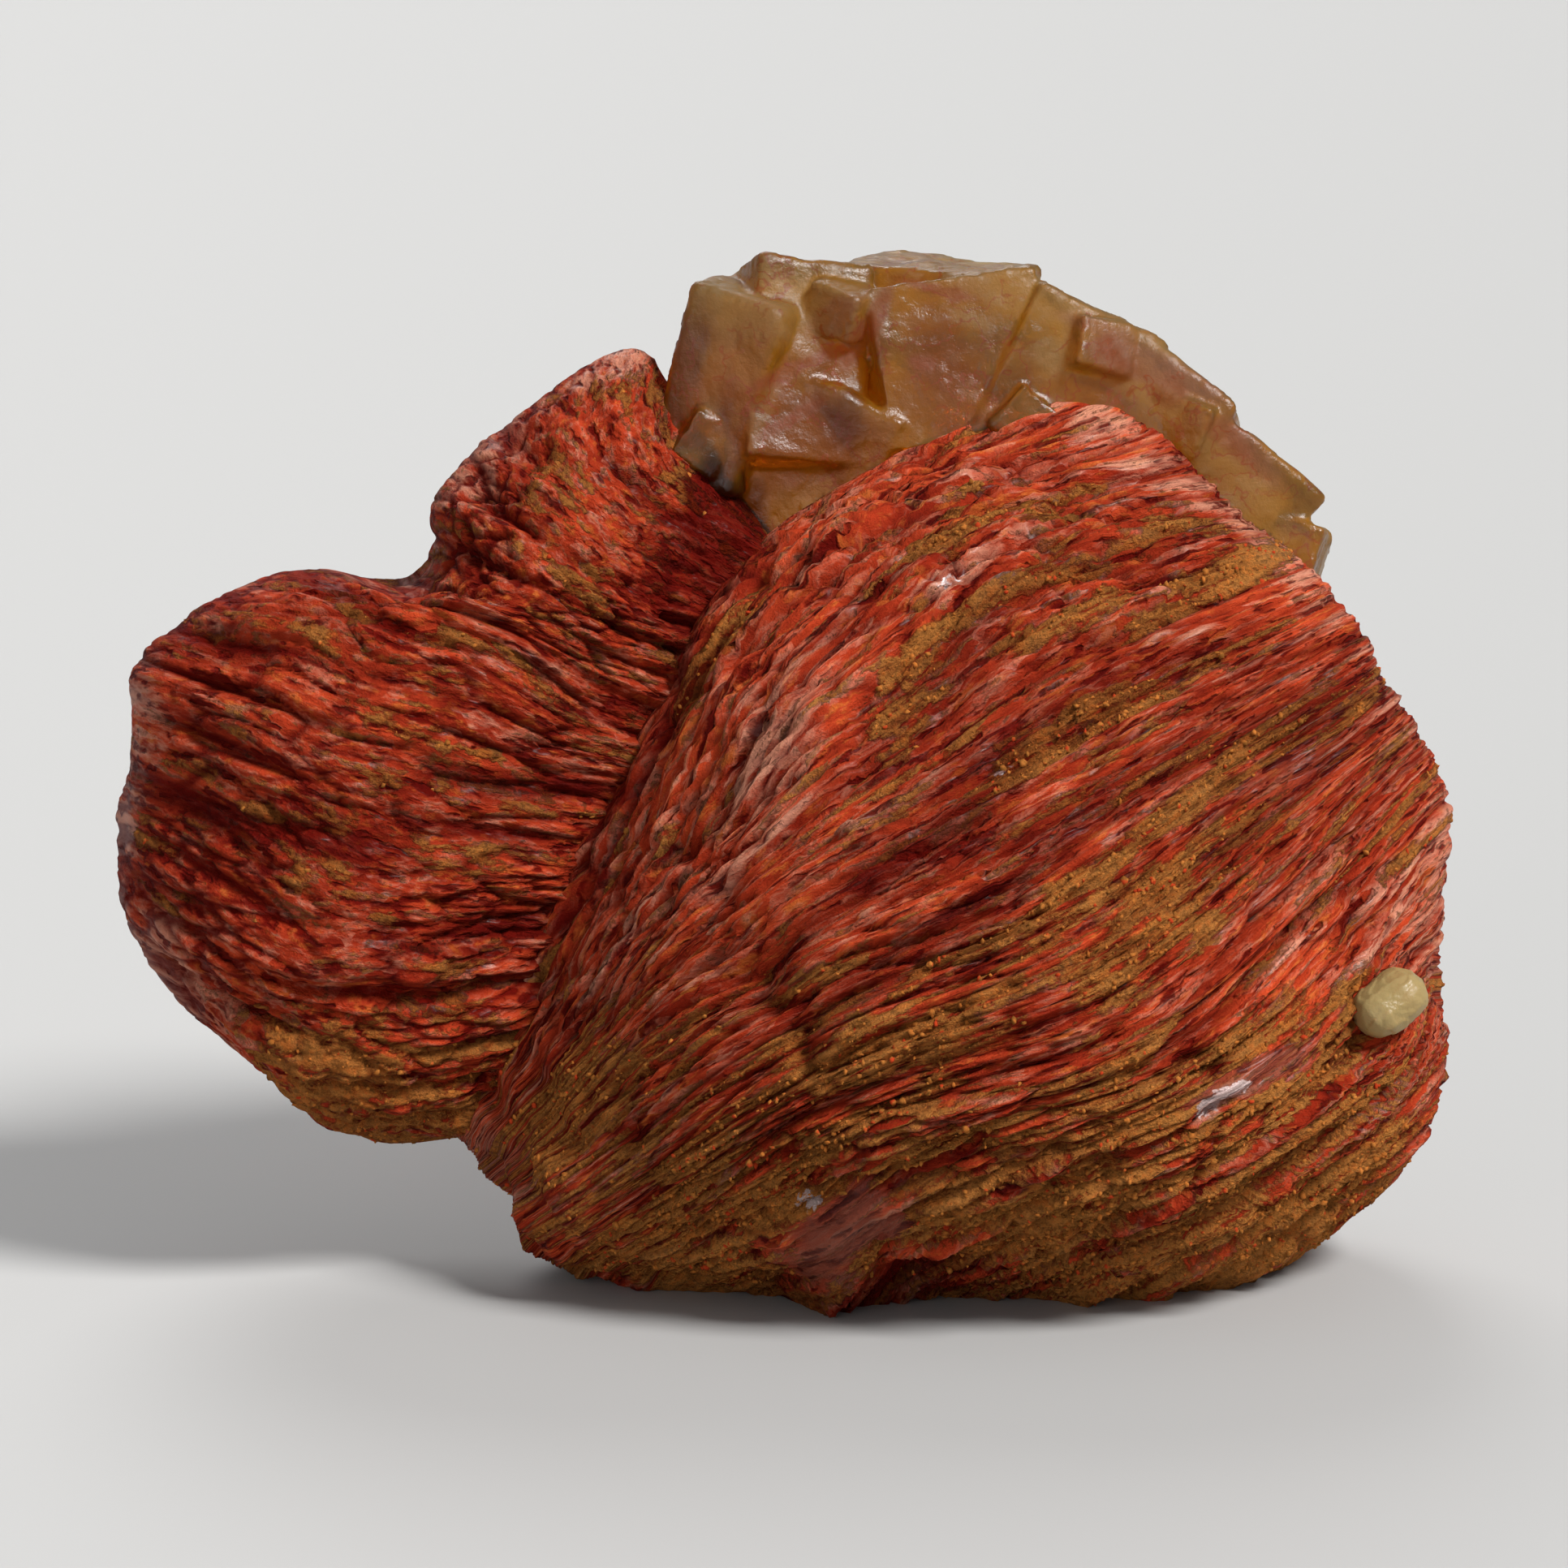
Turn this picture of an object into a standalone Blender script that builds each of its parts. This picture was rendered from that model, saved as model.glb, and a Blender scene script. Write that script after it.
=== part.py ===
"""Fluorite on barite: two crested barite fans with honey fluorite grown over their top.

The specimen is laid out in the picture plane of its best side, in millimetres: u runs to the
right, v up and w away from the viewer. The last step leans it back to stand on the table.
"""
import math
from collections import namedtuple

import bmesh
import bpy
import numpy as np
from mathutils import Euler, Matrix, Vector

# Driving dimensions
MM = 0.001
LEAN_BACK = math.radians(10.0)
CONTACT_GAP = 0.35
CLEARANCE_REACH = (3, 1)
TABLE_LEVEL = 1.7
BASE_CUTTER_SIZE = 200.0

# A fan of barite blades. Each row of blades is one blade from root to rim, as (u, v) at four
# stations; mid is each blade's middle in w, front how far its face stands before that at the same
# stations, and back how far it reaches behind. Lumps are (u, v), radius and height on the front,
# with a height below nothing for a hollow.
Fan = namedtuple("Fan", "blades mid front back blade_count around lumps seed")
RIGHT_FAN = Fan(
    blades=(
        ((-20.8, 12.2), (-13.4, 30.2), (-3.4, 46.8), (17.4, 59.2)),
        ((-19.2, 9.6), (-7.5, 28.3), (6.0, 45.8), (27.0, 50.6)),
        ((-17.4, 7.6), (-3.0, 24.3), (14.0, 35.0), (34.6, 44.0)),
        ((-16.4, 5.6), (-1.0, 17.8), (18.0, 26.8), (37.6, 38.4)),
        ((-15.2, 4.2), (2.0, 12.6), (22.0, 18.6), (40.3, 32.8)),
        ((-13.2, 2.8), (6.0, 8.6), (26.0, 13.4), (40.8, 24.0)),
        ((-10.0, 1.4), (8.0, 4.2), (26.0, 7.0), (40.4, 13.4)),
        ((-5.0, 0.2), (9.5, -0.6), (24.0, -0.2), (36.0, 4.0)),
    ),
    mid=(2.5, 1.5, 0.5, 0.0, 0.0, 1.0, 2.5, 4.0),
    front=(
        (7.0, 8.0, 8.0, 7.0),
        (9.0, 14.5, 14.5, 9.0),
        (10.0, 18.5, 18.5, 10.5),
        (11.0, 20.5, 20.5, 11.5),
        (11.0, 21.0, 21.0, 12.0),
        (11.0, 20.0, 20.5, 12.0),
        (10.0, 17.0, 18.5, 12.0),
        (8.0, 13.0, 14.0, 10.0),
    ),
    back=(6.0, 10.0, 14.0, 16.0, 17.0, 17.5, 17.0, 15.0),
    blade_count=21,
    around=34,
    lumps=(
        ((2.9, 5.2), 3.6, 1.4),
        ((6.6, 2.6), 2.2, -1.4),
        ((4.8, 0.4), 2.6, 1.8),
        ((8.1, 39.0), 4.5, -1.1),
        ((-0.4, 36.6), 4.2, 1.3),
        ((-1.9, 20.5), 3.0, -1.3),
        ((31.6, 34.8), 3.2, -1.0),
        ((36.0, 14.0), 5.0, 0.9),
        ((39.9, 20.3), 2.4, -1.2),
        ((-13.4, 6.2), 3.0, 0.9),
        ((20.0, 22.0), 6.0, 0.8),
    ),
    seed=11,
)
LEFT_FAN = Fan(
    blades=(
        ((2.5, 46.0), (-3.8, 52.0), (-6.6, 57.0), (-8.4, 61.6)),
        ((1.5, 42.5), (-6.3, 48.0), (-11.8, 53.0), (-15.4, 56.2)),
        ((0.5, 39.5), (-8.5, 43.3), (-15.5, 47.6), (-21.6, 50.6)),
        ((-0.5, 37.0), (-10.2, 40.6), (-17.8, 44.0), (-23.2, 45.6)),
        ((-1.5, 34.0), (-12.0, 37.8), (-22.5, 43.2), (-31.4, 45.6)),
        ((-3.0, 30.5), (-14.5, 34.0), (-26.5, 38.2), (-39.4, 41.0)),
        ((-5.0, 27.0), (-17.0, 29.0), (-29.0, 32.5), (-40.6, 36.0)),
        ((-7.0, 23.0), (-19.0, 23.5), (-30.0, 25.2), (-41.4, 29.4)),
        ((-9.0, 18.5), (-21.0, 17.6), (-31.0, 18.8), (-40.2, 22.8)),
        ((-11.5, 14.0), (-22.0, 13.0), (-30.0, 14.0), (-36.2, 18.0)),
        ((-14.0, 11.2), (-21.5, 10.2), (-27.0, 10.7), (-31.6, 15.0)),
    ),
    mid=(4.0, 4.0, 4.0, 4.0, 4.0, 4.0, 4.0, 4.0, 4.0, 4.0, 4.0),
    front=(
        (4.0, 6.0, 7.0, 6.0),
        (5.0, 8.0, 10.0, 8.0),
        (5.0, 9.0, 12.0, 10.0),
        (5.0, 9.5, 13.0, 11.0),
        (5.0, 10.0, 14.0, 12.0),
        (5.0, 11.0, 15.0, 12.0),
        (5.0, 11.5, 15.5, 12.0),
        (5.0, 12.0, 15.5, 12.0),
        (5.0, 11.5, 14.5, 11.0),
        (5.0, 10.0, 12.0, 10.0),
        (4.0, 7.0, 8.0, 7.0),
    ),
    back=(7.0, 9.0, 10.0, 11.0, 12.0, 12.0, 12.0, 12.0, 11.0, 9.0, 7.0),
    blade_count=17,
    around=26,
    lumps=(
        ((-22.6, 46.4), 3.0, -0.8),
        ((-38.0, 38.0), 3.2, 0.7),
        ((-36.5, 27.0), 4.0, 0.6),
        ((-30.0, 20.0), 4.0, -0.6),
    ),
    seed=23,
)

# Outline of one blade, and how the stack of blades closes at its two outermost ones
BLADE_ROUNDNESS = 0.7
DEPTH_POWER = 5
LENGTH_POWER = 30
CAP_PLACES = (0.001, 0.004)
OUTER_BLADE = 0.25

# Relief of the blades in millimetres: how far each stands out, and the gaps between them
BLADE_STEP = 0.85
STAND_RANGE = (-0.5, 0.7)
SWELL = 0.5
SLANT = 0.3
WAVE_RANGE = (0.8, 2.2)
GAP_DEPTH = 1.0
GAP_SWING = 0.45
SHOULDER = 0.24
RELIEF_POWER = 8
FULL_WIDTH = 2.4
CROWDING = 1.5

# Fluorite cubes: centre (u, w, v), edge lengths, turn in degrees about u, w and v, and worn edge
FLUORITE_CUBES = (
    ((-3.2, 4.6, 57.2), (6.4, 9.0, 12.4), (6, 18, -16), 1.4),
    ((0.4, 5.4, 58.0), (7.4, 9.0, 13.0), (-8, 6, 14), 1.0),
    ((2.4, 6.6, 52.0), (9.0, 10.0, 12.0), (10, 24, -10), 0.8),
    ((10.4, 5.4, 58.4), (10.6, 9.0, 10.4), (-4, -8, 8), 0.5),
    ((9.4, 8.6, 59.4), (10.6, 9.0, 11.6), (8, 6, -22), 0.9),
    ((16.6, 6.0, 57.2), (9.0, 9.0, 10.4), (4, 26, 14), 0.8),
    ((21.6, 6.4, 53.6), (9.2, 9.6, 11.0), (-8, 36, -10), 1.0),
    ((26.0, 6.6, 49.2), (9.0, 9.6, 10.6), (6, 38, 16), 0.9),
    ((29.0, 7.0, 44.6), (7.6, 9.0, 9.6), (-6, 18, -8), 0.9),
    ((4.0, 11.0, 53.6), (14.0, 8.0, 13.0), (6, 18, 22), 1.0),
    ((16.0, 11.4, 51.6), (15.0, 8.4, 12.6), (12, 32, -14), 1.0),
    ((3.6, 1.9, 61.8), (3.6, 3.4, 3.0), (10, 20, -30), 0.3),
    ((14.8, 1.6, 54.8), (3.8, 3.2, 3.4), (8, 40, 15), 0.3),
    ((19.0, 2.4, 59.4), (3.8, 3.4, 3.2), (-6, 12, 30), 0.3),
    ((24.8, 2.8, 54.8), (4.0, 3.6, 3.4), (4, 22, -24), 0.4),
    ((-5.2, 1.6, 53.6), (3.2, 3.0, 3.4), (5, 32, 12), 0.4),
    ((-2.4, 12.4, 57.4), (5.4, 5.0, 5.6), (20, 30, 12), 0.5),
    ((11.0, 15.0, 57.4), (6.4, 5.0, 6.0), (12, -20, 30), 0.5),
    ((23.0, 13.6, 47.6), (6.6, 6.0, 6.4), (-14, 26, 18), 0.6),
)

# Small crystal on the right fan
GRAIN = ((36.4, -11.2, 19.3), (5.0, 4.4, 4.2), (6, -30, 42), 0.7)


def clear_scene():
    """Empty the scene without closing the file."""
    for item in list(bpy.data.objects):
        bpy.data.objects.remove(item)


def new_collection(name):
    """A collection under the scene's own."""
    collection = bpy.data.collections.new(name)
    bpy.context.scene.collection.children.link(collection)
    return collection


def mineral(name, colour, roughness, transmission=0.0):
    """A Principled material for one mineral."""
    material = bpy.data.materials.new(name)
    material.use_nodes = True
    shader = material.node_tree.nodes["Principled BSDF"]
    shader.inputs["Base Color"].default_value = (*colour, 1.0)
    shader.inputs["Roughness"].default_value = roughness
    shader.inputs["Metallic"].default_value = 0.0
    shader.inputs["Transmission Weight"].default_value = transmission
    return material


def standing():
    """Turn from the picture plane (u, w, v in millimetres) to the table (metres)."""
    lean = Matrix.Rotation(-LEAN_BACK, 4, "X")
    return Matrix.Scale(MM, 4) @ Matrix.Translation((0.0, 0.0, -TABLE_LEVEL)) @ lean


def spline_weights(places, count):
    """Weights of a smooth curve through evenly spaced stations, one row for each place."""
    cell = np.clip(np.floor(places), 0, count - 2).astype(int)
    f = places - cell
    basis = (
        0.5 * (-f + 2 * f ** 2 - f ** 3),
        0.5 * (2 - 5 * f ** 2 + 3 * f ** 3),
        0.5 * (f + 4 * f ** 2 - 3 * f ** 3),
        0.5 * (-f ** 2 + f ** 3),
    )
    weights = np.zeros((len(places), count + 2))
    rows = np.arange(len(places))
    for step, share in enumerate(basis):
        weights[rows, cell + step] += share
    first, last = weights[:, 0], weights[:, -1]
    inner = weights[:, 1:-1]
    inner[:, 0] += 2 * first
    inner[:, 1] -= first
    inner[:, -1] += 2 * last
    inner[:, -2] -= last
    return inner


def blade_rings(blade_count):
    """Places across the fan, 0 to 1, with three for each blade: its gap and two shoulders."""
    places = []
    for blade in range(blade_count):
        places += [blade, blade + SHOULDER, blade + 1 - SHOULDER]
    places.append(blade_count)
    margin = OUTER_BLADE / blade_count
    span = margin + np.array(places, dtype=float) / blade_count * (1 - 2 * margin)
    caps = np.array(CAP_PLACES)
    return np.concatenate([caps, span, 1 - caps[::-1]])


def blade_relief(blade_count, along, seed):
    """Height of the fan's skin at each ring, in millimetres: stepped blades and sunken gaps."""
    random = np.random.default_rng(seed)
    rows = []
    for blade in range(blade_count + 1):
        waves = random.uniform(*WAVE_RANGE, 2)
        phases = random.uniform(0, 2 * math.pi, 3)
        depth = 1 + GAP_SWING * (np.sin(2 * math.pi * waves[0] * along + phases[0]) - 1)
        rows.append(-GAP_DEPTH * depth)
        if blade == blade_count:
            break
        stand = random.uniform(*STAND_RANGE)
        swell = SWELL * np.sin(2 * math.pi * waves[1] * along + phases[1])
        slant = SLANT * np.sin(2 * math.pi * along + phases[2])
        rows.append(BLADE_STEP * (stand + swell + slant))
        rows.append(BLADE_STEP * (stand + swell - slant))
    caps = len(CAP_PLACES)
    return np.pad(np.stack(rows), ((caps, caps), (0, 0)), mode="edge")


def highest_near(relief, rings, steps):
    """The highest relief within so many rings and steps of each point: a skin over every gap."""
    padded = np.pad(relief, ((rings, rings), (0, 0)), mode="edge")
    highest = np.max([padded[start:start + len(relief)] for start in range(2 * rings + 1)], axis=0)
    return np.max([np.roll(highest, step, axis=1) for step in range(-steps, steps + 1)], axis=0)


def lump_relief(points, lumps):
    """Height that rounded lumps and hollows add to the front half of a fan's skin."""
    height = np.zeros(points.shape[:2])
    for (u, v), radius, rise in lumps:
        away = (points[:, :, 0] - u) ** 2 + (points[:, :, 2] - v) ** 2
        height += rise * np.exp(-away / radius ** 2)
    return height


def fan_skin(fan, clearance=0.0):
    """Points of a fan's skin: rings across its blades, each ring once around one blade.

    A skin with a clearance goes over the gaps, that many millimetres outside the blades.
    """
    across = blade_rings(fan.blade_count)
    turn = 2 * math.pi * np.arange(fan.around) / fan.around
    fore = np.sin(turn) > 0
    rows = len(fan.blades)
    stations = len(fan.blades[0])
    edge = np.abs(2 * across - 1)
    length = np.sqrt(1 - edge ** LENGTH_POWER)
    depth = np.sqrt(1 - edge ** DEPTH_POWER)
    points = np.zeros((len(across), fan.around, 3))
    for ring, row in enumerate(spline_weights(across * (rows - 1), rows)):
        along = 0.5 - 0.5 * np.cos(turn) * length[ring]
        lengthwise = spline_weights(along * (stations - 1), stations)
        outline = lengthwise @ np.tensordot(row, np.array(fan.blades), 1)
        bulge = lengthwise @ (row @ np.array(fan.front))
        reach = np.where(fore, -bulge, row @ np.array(fan.back))
        rounding = depth[ring] * np.abs(np.sin(turn)) ** BLADE_ROUNDNESS
        points[ring, :, 0] = outline[:, 0]
        points[ring, :, 1] = row @ np.array(fan.mid) + reach * rounding
        points[ring, :, 2] = outline[:, 1]
    tangent = np.roll(points, -1, axis=1) - np.roll(points, 1, axis=1)
    step = np.gradient(points, axis=0)
    normal = np.cross(step, tangent)
    normal /= np.linalg.norm(normal, axis=2, keepdims=True)
    if np.sum(normal * (points - points.mean(axis=(0, 1)))) < 0:
        normal = -normal
    blade_width = 3 * np.linalg.norm(step, axis=2)
    fade = np.sqrt(1 - edge ** RELIEF_POWER)[:, None]
    fade = fade * np.minimum(1, blade_width / FULL_WIDTH) ** CROWDING
    relief = blade_relief(fan.blade_count, 0.5 - 0.5 * np.cos(turn), fan.seed) * fade
    relief += lump_relief(points, fan.lumps) * fore * fade
    if clearance:
        relief = highest_near(relief, *CLEARANCE_REACH) + clearance
    return points + normal * relief[:, :, None]


def fan_mesh(name, fan, clearance=0.0):
    """A closed mesh: a sphere of rings whose points are moved to a fan's skin."""
    skin = fan_skin(fan, clearance)
    ring_count, around = skin.shape[:2]
    shape = bmesh.new()
    bmesh.ops.create_uvsphere(shape, u_segments=around, v_segments=ring_count + 1, radius=1.0)
    for vert in shape.verts:
        polar = math.acos(max(-1.0, min(1.0, vert.co.z)))
        ring = round(polar / math.pi * (ring_count + 1))
        if ring == 0:
            vert.co = Vector(skin[0].mean(axis=0))
        elif ring == ring_count + 1:
            vert.co = Vector(skin[-1].mean(axis=0))
        else:
            step = round(math.atan2(vert.co.y, vert.co.x) / (2 * math.pi) * around) % around
            vert.co = Vector(skin[ring - 1, step])
    bmesh.ops.triangulate(shape, faces=shape.faces, quad_method="FIXED")
    if shape.calc_volume(signed=True) < 0:
        bmesh.ops.reverse_faces(shape, faces=shape.faces)
    mesh = bpy.data.meshes.new(name)
    shape.to_mesh(mesh)
    shape.free()
    mesh.transform(standing())
    return mesh


def cube_mesh(name, centre, size, turn, bevel):
    """A crystal cube with slightly worn edges."""
    shape = bmesh.new()
    bmesh.ops.create_cube(shape, size=1.0)
    bmesh.ops.scale(shape, vec=Vector(size), verts=shape.verts)
    bmesh.ops.bevel(shape, geom=shape.edges[:], offset=bevel, affect="EDGES", segments=1,
                    profile=0.5, material=-1)
    turned = Euler([math.radians(angle) for angle in turn]).to_matrix().to_4x4()
    mesh = bpy.data.meshes.new(name)
    shape.to_mesh(mesh)
    shape.free()
    mesh.transform(standing() @ Matrix.Translation(centre) @ turned)
    return mesh


def add_object(name, mesh, collection, material=None):
    """Put a mesh in a collection as a named object."""
    item = bpy.data.objects.new(name, mesh)
    collection.objects.link(item)
    if material is not None:
        mesh.materials.append(material)
    return item


def add_cutter(name, mesh, collection):
    """A hidden object that only cuts others."""
    cutter = add_object(name, mesh, collection)
    cutter.hide_render = True
    cutter.display_type = "WIRE"
    return cutter


def boolean(item, other, operation):
    """Cut or join one object with another, and keep the result as its mesh."""
    modifier = item.modifiers.new(operation.lower(), "BOOLEAN")
    modifier.operation = operation
    modifier.solver = "EXACT"
    modifier.object = other
    bpy.context.view_layer.update()
    graph = bpy.context.evaluated_depsgraph_get()
    result = bpy.data.meshes.new_from_object(item.evaluated_get(graph))
    item.modifiers.clear()
    item.data = result


def keep_main_body(item):
    """Drop the crumbs that a cut leaves loose from the largest body."""
    shape = bmesh.new()
    shape.from_mesh(item.data)
    unseen = set(shape.faces)
    bodies = []
    while unseen:
        body = [unseen.pop()]
        for face in body:
            for edge in face.edges:
                for other in edge.link_faces:
                    if other in unseen:
                        unseen.remove(other)
                        body.append(other)
        bodies.append(body)
    bodies.sort(key=len)
    for crumb in bodies[:-1]:
        bmesh.ops.delete(shape, geom=crumb, context="FACES")
    shape.to_mesh(item.data)
    shape.free()


def base_cutter(cutters):
    """The block of air below the table's level."""
    shape = bmesh.new()
    bmesh.ops.create_cube(shape, size=BASE_CUTTER_SIZE * MM)
    bmesh.ops.translate(shape, vec=(0, 0, -BASE_CUTTER_SIZE * MM / 2), verts=shape.verts)
    mesh = bpy.data.meshes.new("table_level")
    shape.to_mesh(mesh)
    shape.free()
    return add_cutter("table_level", mesh, cutters)


def centre_on_origin(items):
    """Move the finished pieces so that the origin is below the middle of the specimen."""
    corners = np.array([vert.co[:] for item in items for vert in item.data.vertices])
    middle = (corners.min(axis=0) + corners.max(axis=0)) / 2
    for item in items:
        item.data.transform(Matrix.Translation((-middle[0], -middle[1], 0.0)))


def build():
    """Make the four pieces of the specimen."""
    clear_scene()
    pieces = new_collection("fluorite_on_barite_specimen")
    cutters = new_collection("cutters")
    red_barite = mineral("red_barite", (0.32, 0.05, 0.02), 0.6)
    honey_fluorite = mineral("honey_fluorite", (0.35, 0.19, 0.06), 0.25, 0.6)
    pale_fluorite = mineral("pale_fluorite", (0.42, 0.34, 0.17), 0.3, 0.6)

    below_table = base_cutter(cutters)
    around_right = add_cutter("around_right_fan", fan_mesh("around_right_fan", RIGHT_FAN, CONTACT_GAP),
                              cutters)
    around_left = add_cutter("around_left_fan", fan_mesh("around_left_fan", LEFT_FAN, CONTACT_GAP),
                             cutters)

    right = add_object("barite_right_fan", fan_mesh("barite_right_fan", RIGHT_FAN), pieces,
                       red_barite)
    boolean(right, below_table, "DIFFERENCE")
    keep_main_body(right)

    left = add_object("barite_left_fan", fan_mesh("barite_left_fan", LEFT_FAN), pieces, red_barite)
    boolean(left, around_right, "DIFFERENCE")
    keep_main_body(left)

    first, *others = FLUORITE_CUBES
    cluster = add_object("fluorite_cluster", cube_mesh("fluorite_cluster", *first), pieces,
                         honey_fluorite)
    for number, cube in enumerate(others):
        name = f"grown_cube_{number + 1}"
        grown = add_cutter(name, cube_mesh(name, *cube), cutters)
        boolean(cluster, grown, "UNION")
    boolean(cluster, around_right, "DIFFERENCE")
    boolean(cluster, around_left, "DIFFERENCE")
    keep_main_body(cluster)

    grain = add_object("fluorite_grain", cube_mesh("fluorite_grain", *GRAIN), pieces, pale_fluorite)
    boolean(grain, around_right, "DIFFERENCE")
    keep_main_body(grain)
    centre_on_origin([right, left, cluster, grain])


build()
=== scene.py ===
"""Fluorite on barite specimen: the finished surfaces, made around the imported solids.

The file is laid out as a Blender add-on. Each piece has an operator of its own, and main() calls
them in order. Pieces are shaped in the picture plane of the specimen's best side, in millimetres:
u runs to the right, v up and w away from the viewer. The last step leans them back onto the table.
"""
import itertools
import math
from collections import namedtuple

import bmesh
import bpy
import numpy as np
from bpy.props import FloatProperty, FloatVectorProperty, IntProperty, PointerProperty
from mathutils import Euler, Matrix, Vector


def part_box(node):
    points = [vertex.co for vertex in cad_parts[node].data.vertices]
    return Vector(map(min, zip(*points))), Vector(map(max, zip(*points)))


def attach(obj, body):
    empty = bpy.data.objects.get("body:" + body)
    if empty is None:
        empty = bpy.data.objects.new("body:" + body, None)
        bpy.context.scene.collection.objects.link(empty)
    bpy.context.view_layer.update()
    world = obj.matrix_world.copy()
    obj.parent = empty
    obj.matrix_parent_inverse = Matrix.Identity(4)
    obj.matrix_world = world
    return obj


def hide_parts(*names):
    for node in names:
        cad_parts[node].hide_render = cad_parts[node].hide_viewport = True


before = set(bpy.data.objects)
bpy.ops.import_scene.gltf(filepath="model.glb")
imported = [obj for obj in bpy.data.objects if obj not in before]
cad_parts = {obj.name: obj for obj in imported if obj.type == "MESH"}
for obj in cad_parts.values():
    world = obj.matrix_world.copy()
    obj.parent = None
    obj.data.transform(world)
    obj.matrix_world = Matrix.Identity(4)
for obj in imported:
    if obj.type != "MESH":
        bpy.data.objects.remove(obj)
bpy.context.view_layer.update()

bl_info = {
    "name": "Fluorite on barite specimen",
    "version": (1, 0, 0),
    "blender": (4, 5, 0),
    "location": "View3D > Sidebar > Specimen",
    "description": "Crested barite fans with honey fluorite grown over their top",
    "category": "Object",
}

# How the specimen stands, and where the photo's viewer is, in millimetres
MM = 0.001
LEAN_BACK = math.radians(10.0)
TABLE_LEVEL = 1.7
VIEWER_DISTANCE = 450.0
VIEW_MIDDLE = (-0.1, 32.45)

# A fan of barite blades. Each row of blades is one blade from root to rim, as (u, v) at four
# stations; mid is each blade's middle in w, front how far its face stands before that at the same
# stations, and back how far it reaches behind. Lumps are (u, v), radius and height on the front,
# with a height below nothing for a hollow. Climb turns the grain of the low blades, pitch is a
# plate's usual width, rugged scales the plates' relief and the field after it their pale edges,
# which are partly pale barite and partly a painted highlight on plates that stand out, and crumbs
# is the number of crumbs.
Fan = namedtuple("Fan", ("blades", "mid", "front", "back", "blade_count", "around", "lumps", "seed", "climb",
                         "pitch", "rugged", "bruised", "crumbs"))
RIGHT_FAN = Fan(
    blades=(
        ((-20.8, 12.2), (-13.4, 30.2), (-3.4, 46.8), (17.4, 59.2)),
        ((-19.2, 9.6), (-7.5, 28.3), (6.0, 45.8), (27.0, 50.6)),
        ((-17.4, 7.6), (-3.0, 24.3), (14.0, 35.0), (34.6, 44.0)),
        ((-16.4, 5.6), (-1.0, 17.8), (18.0, 26.8), (37.6, 38.4)),
        ((-15.2, 4.2), (2.0, 12.6), (22.0, 18.6), (40.3, 32.8)),
        ((-13.2, 2.8), (6.0, 8.6), (26.0, 13.4), (40.8, 24.0)),
        ((-10.0, 1.4), (8.0, 4.2), (26.0, 7.0), (40.4, 13.4)),
        ((-5.0, 0.2), (9.5, -0.6), (24.0, -0.2), (36.0, 4.0)),
    ),
    mid=(2.5, 1.5, 0.5, 0.0, 0.0, 1.0, 2.5, 4.0),
    front=(
        (7.0, 8.0, 8.0, 7.0),
        (9.0, 14.5, 14.5, 9.0),
        (10.0, 18.5, 18.5, 10.5),
        (11.0, 20.5, 20.5, 11.5),
        (11.0, 21.0, 21.0, 12.0),
        (11.0, 20.0, 20.5, 12.0),
        (10.0, 17.0, 18.5, 12.0),
        (8.0, 13.0, 14.0, 10.0),
    ),
    back=(6.0, 10.0, 14.0, 16.0, 17.0, 17.5, 17.0, 15.0),
    blade_count=21,
    around=34,
    lumps=(
        ((2.9, 5.2), 3.6, 1.4),
        ((6.6, 2.6), 2.2, -1.4),
        ((4.8, 0.4), 2.6, 1.8),
        ((8.1, 39.0), 4.5, -1.1),
        ((-0.4, 36.6), 4.2, 1.3),
        ((-1.9, 20.5), 3.0, -1.3),
        ((31.6, 34.8), 3.2, -1.0),
        ((36.0, 14.0), 5.0, 0.9),
        ((39.9, 20.3), 2.4, -1.2),
        ((-13.4, 6.2), 3.0, 0.9),
        ((20.0, 22.0), 6.0, 0.8),
    ),
    seed=11,
    climb=1.0,
    pitch=2.2,
    rugged=1.25,
    bruised=0.8,
    crumbs=9400,
)
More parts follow.
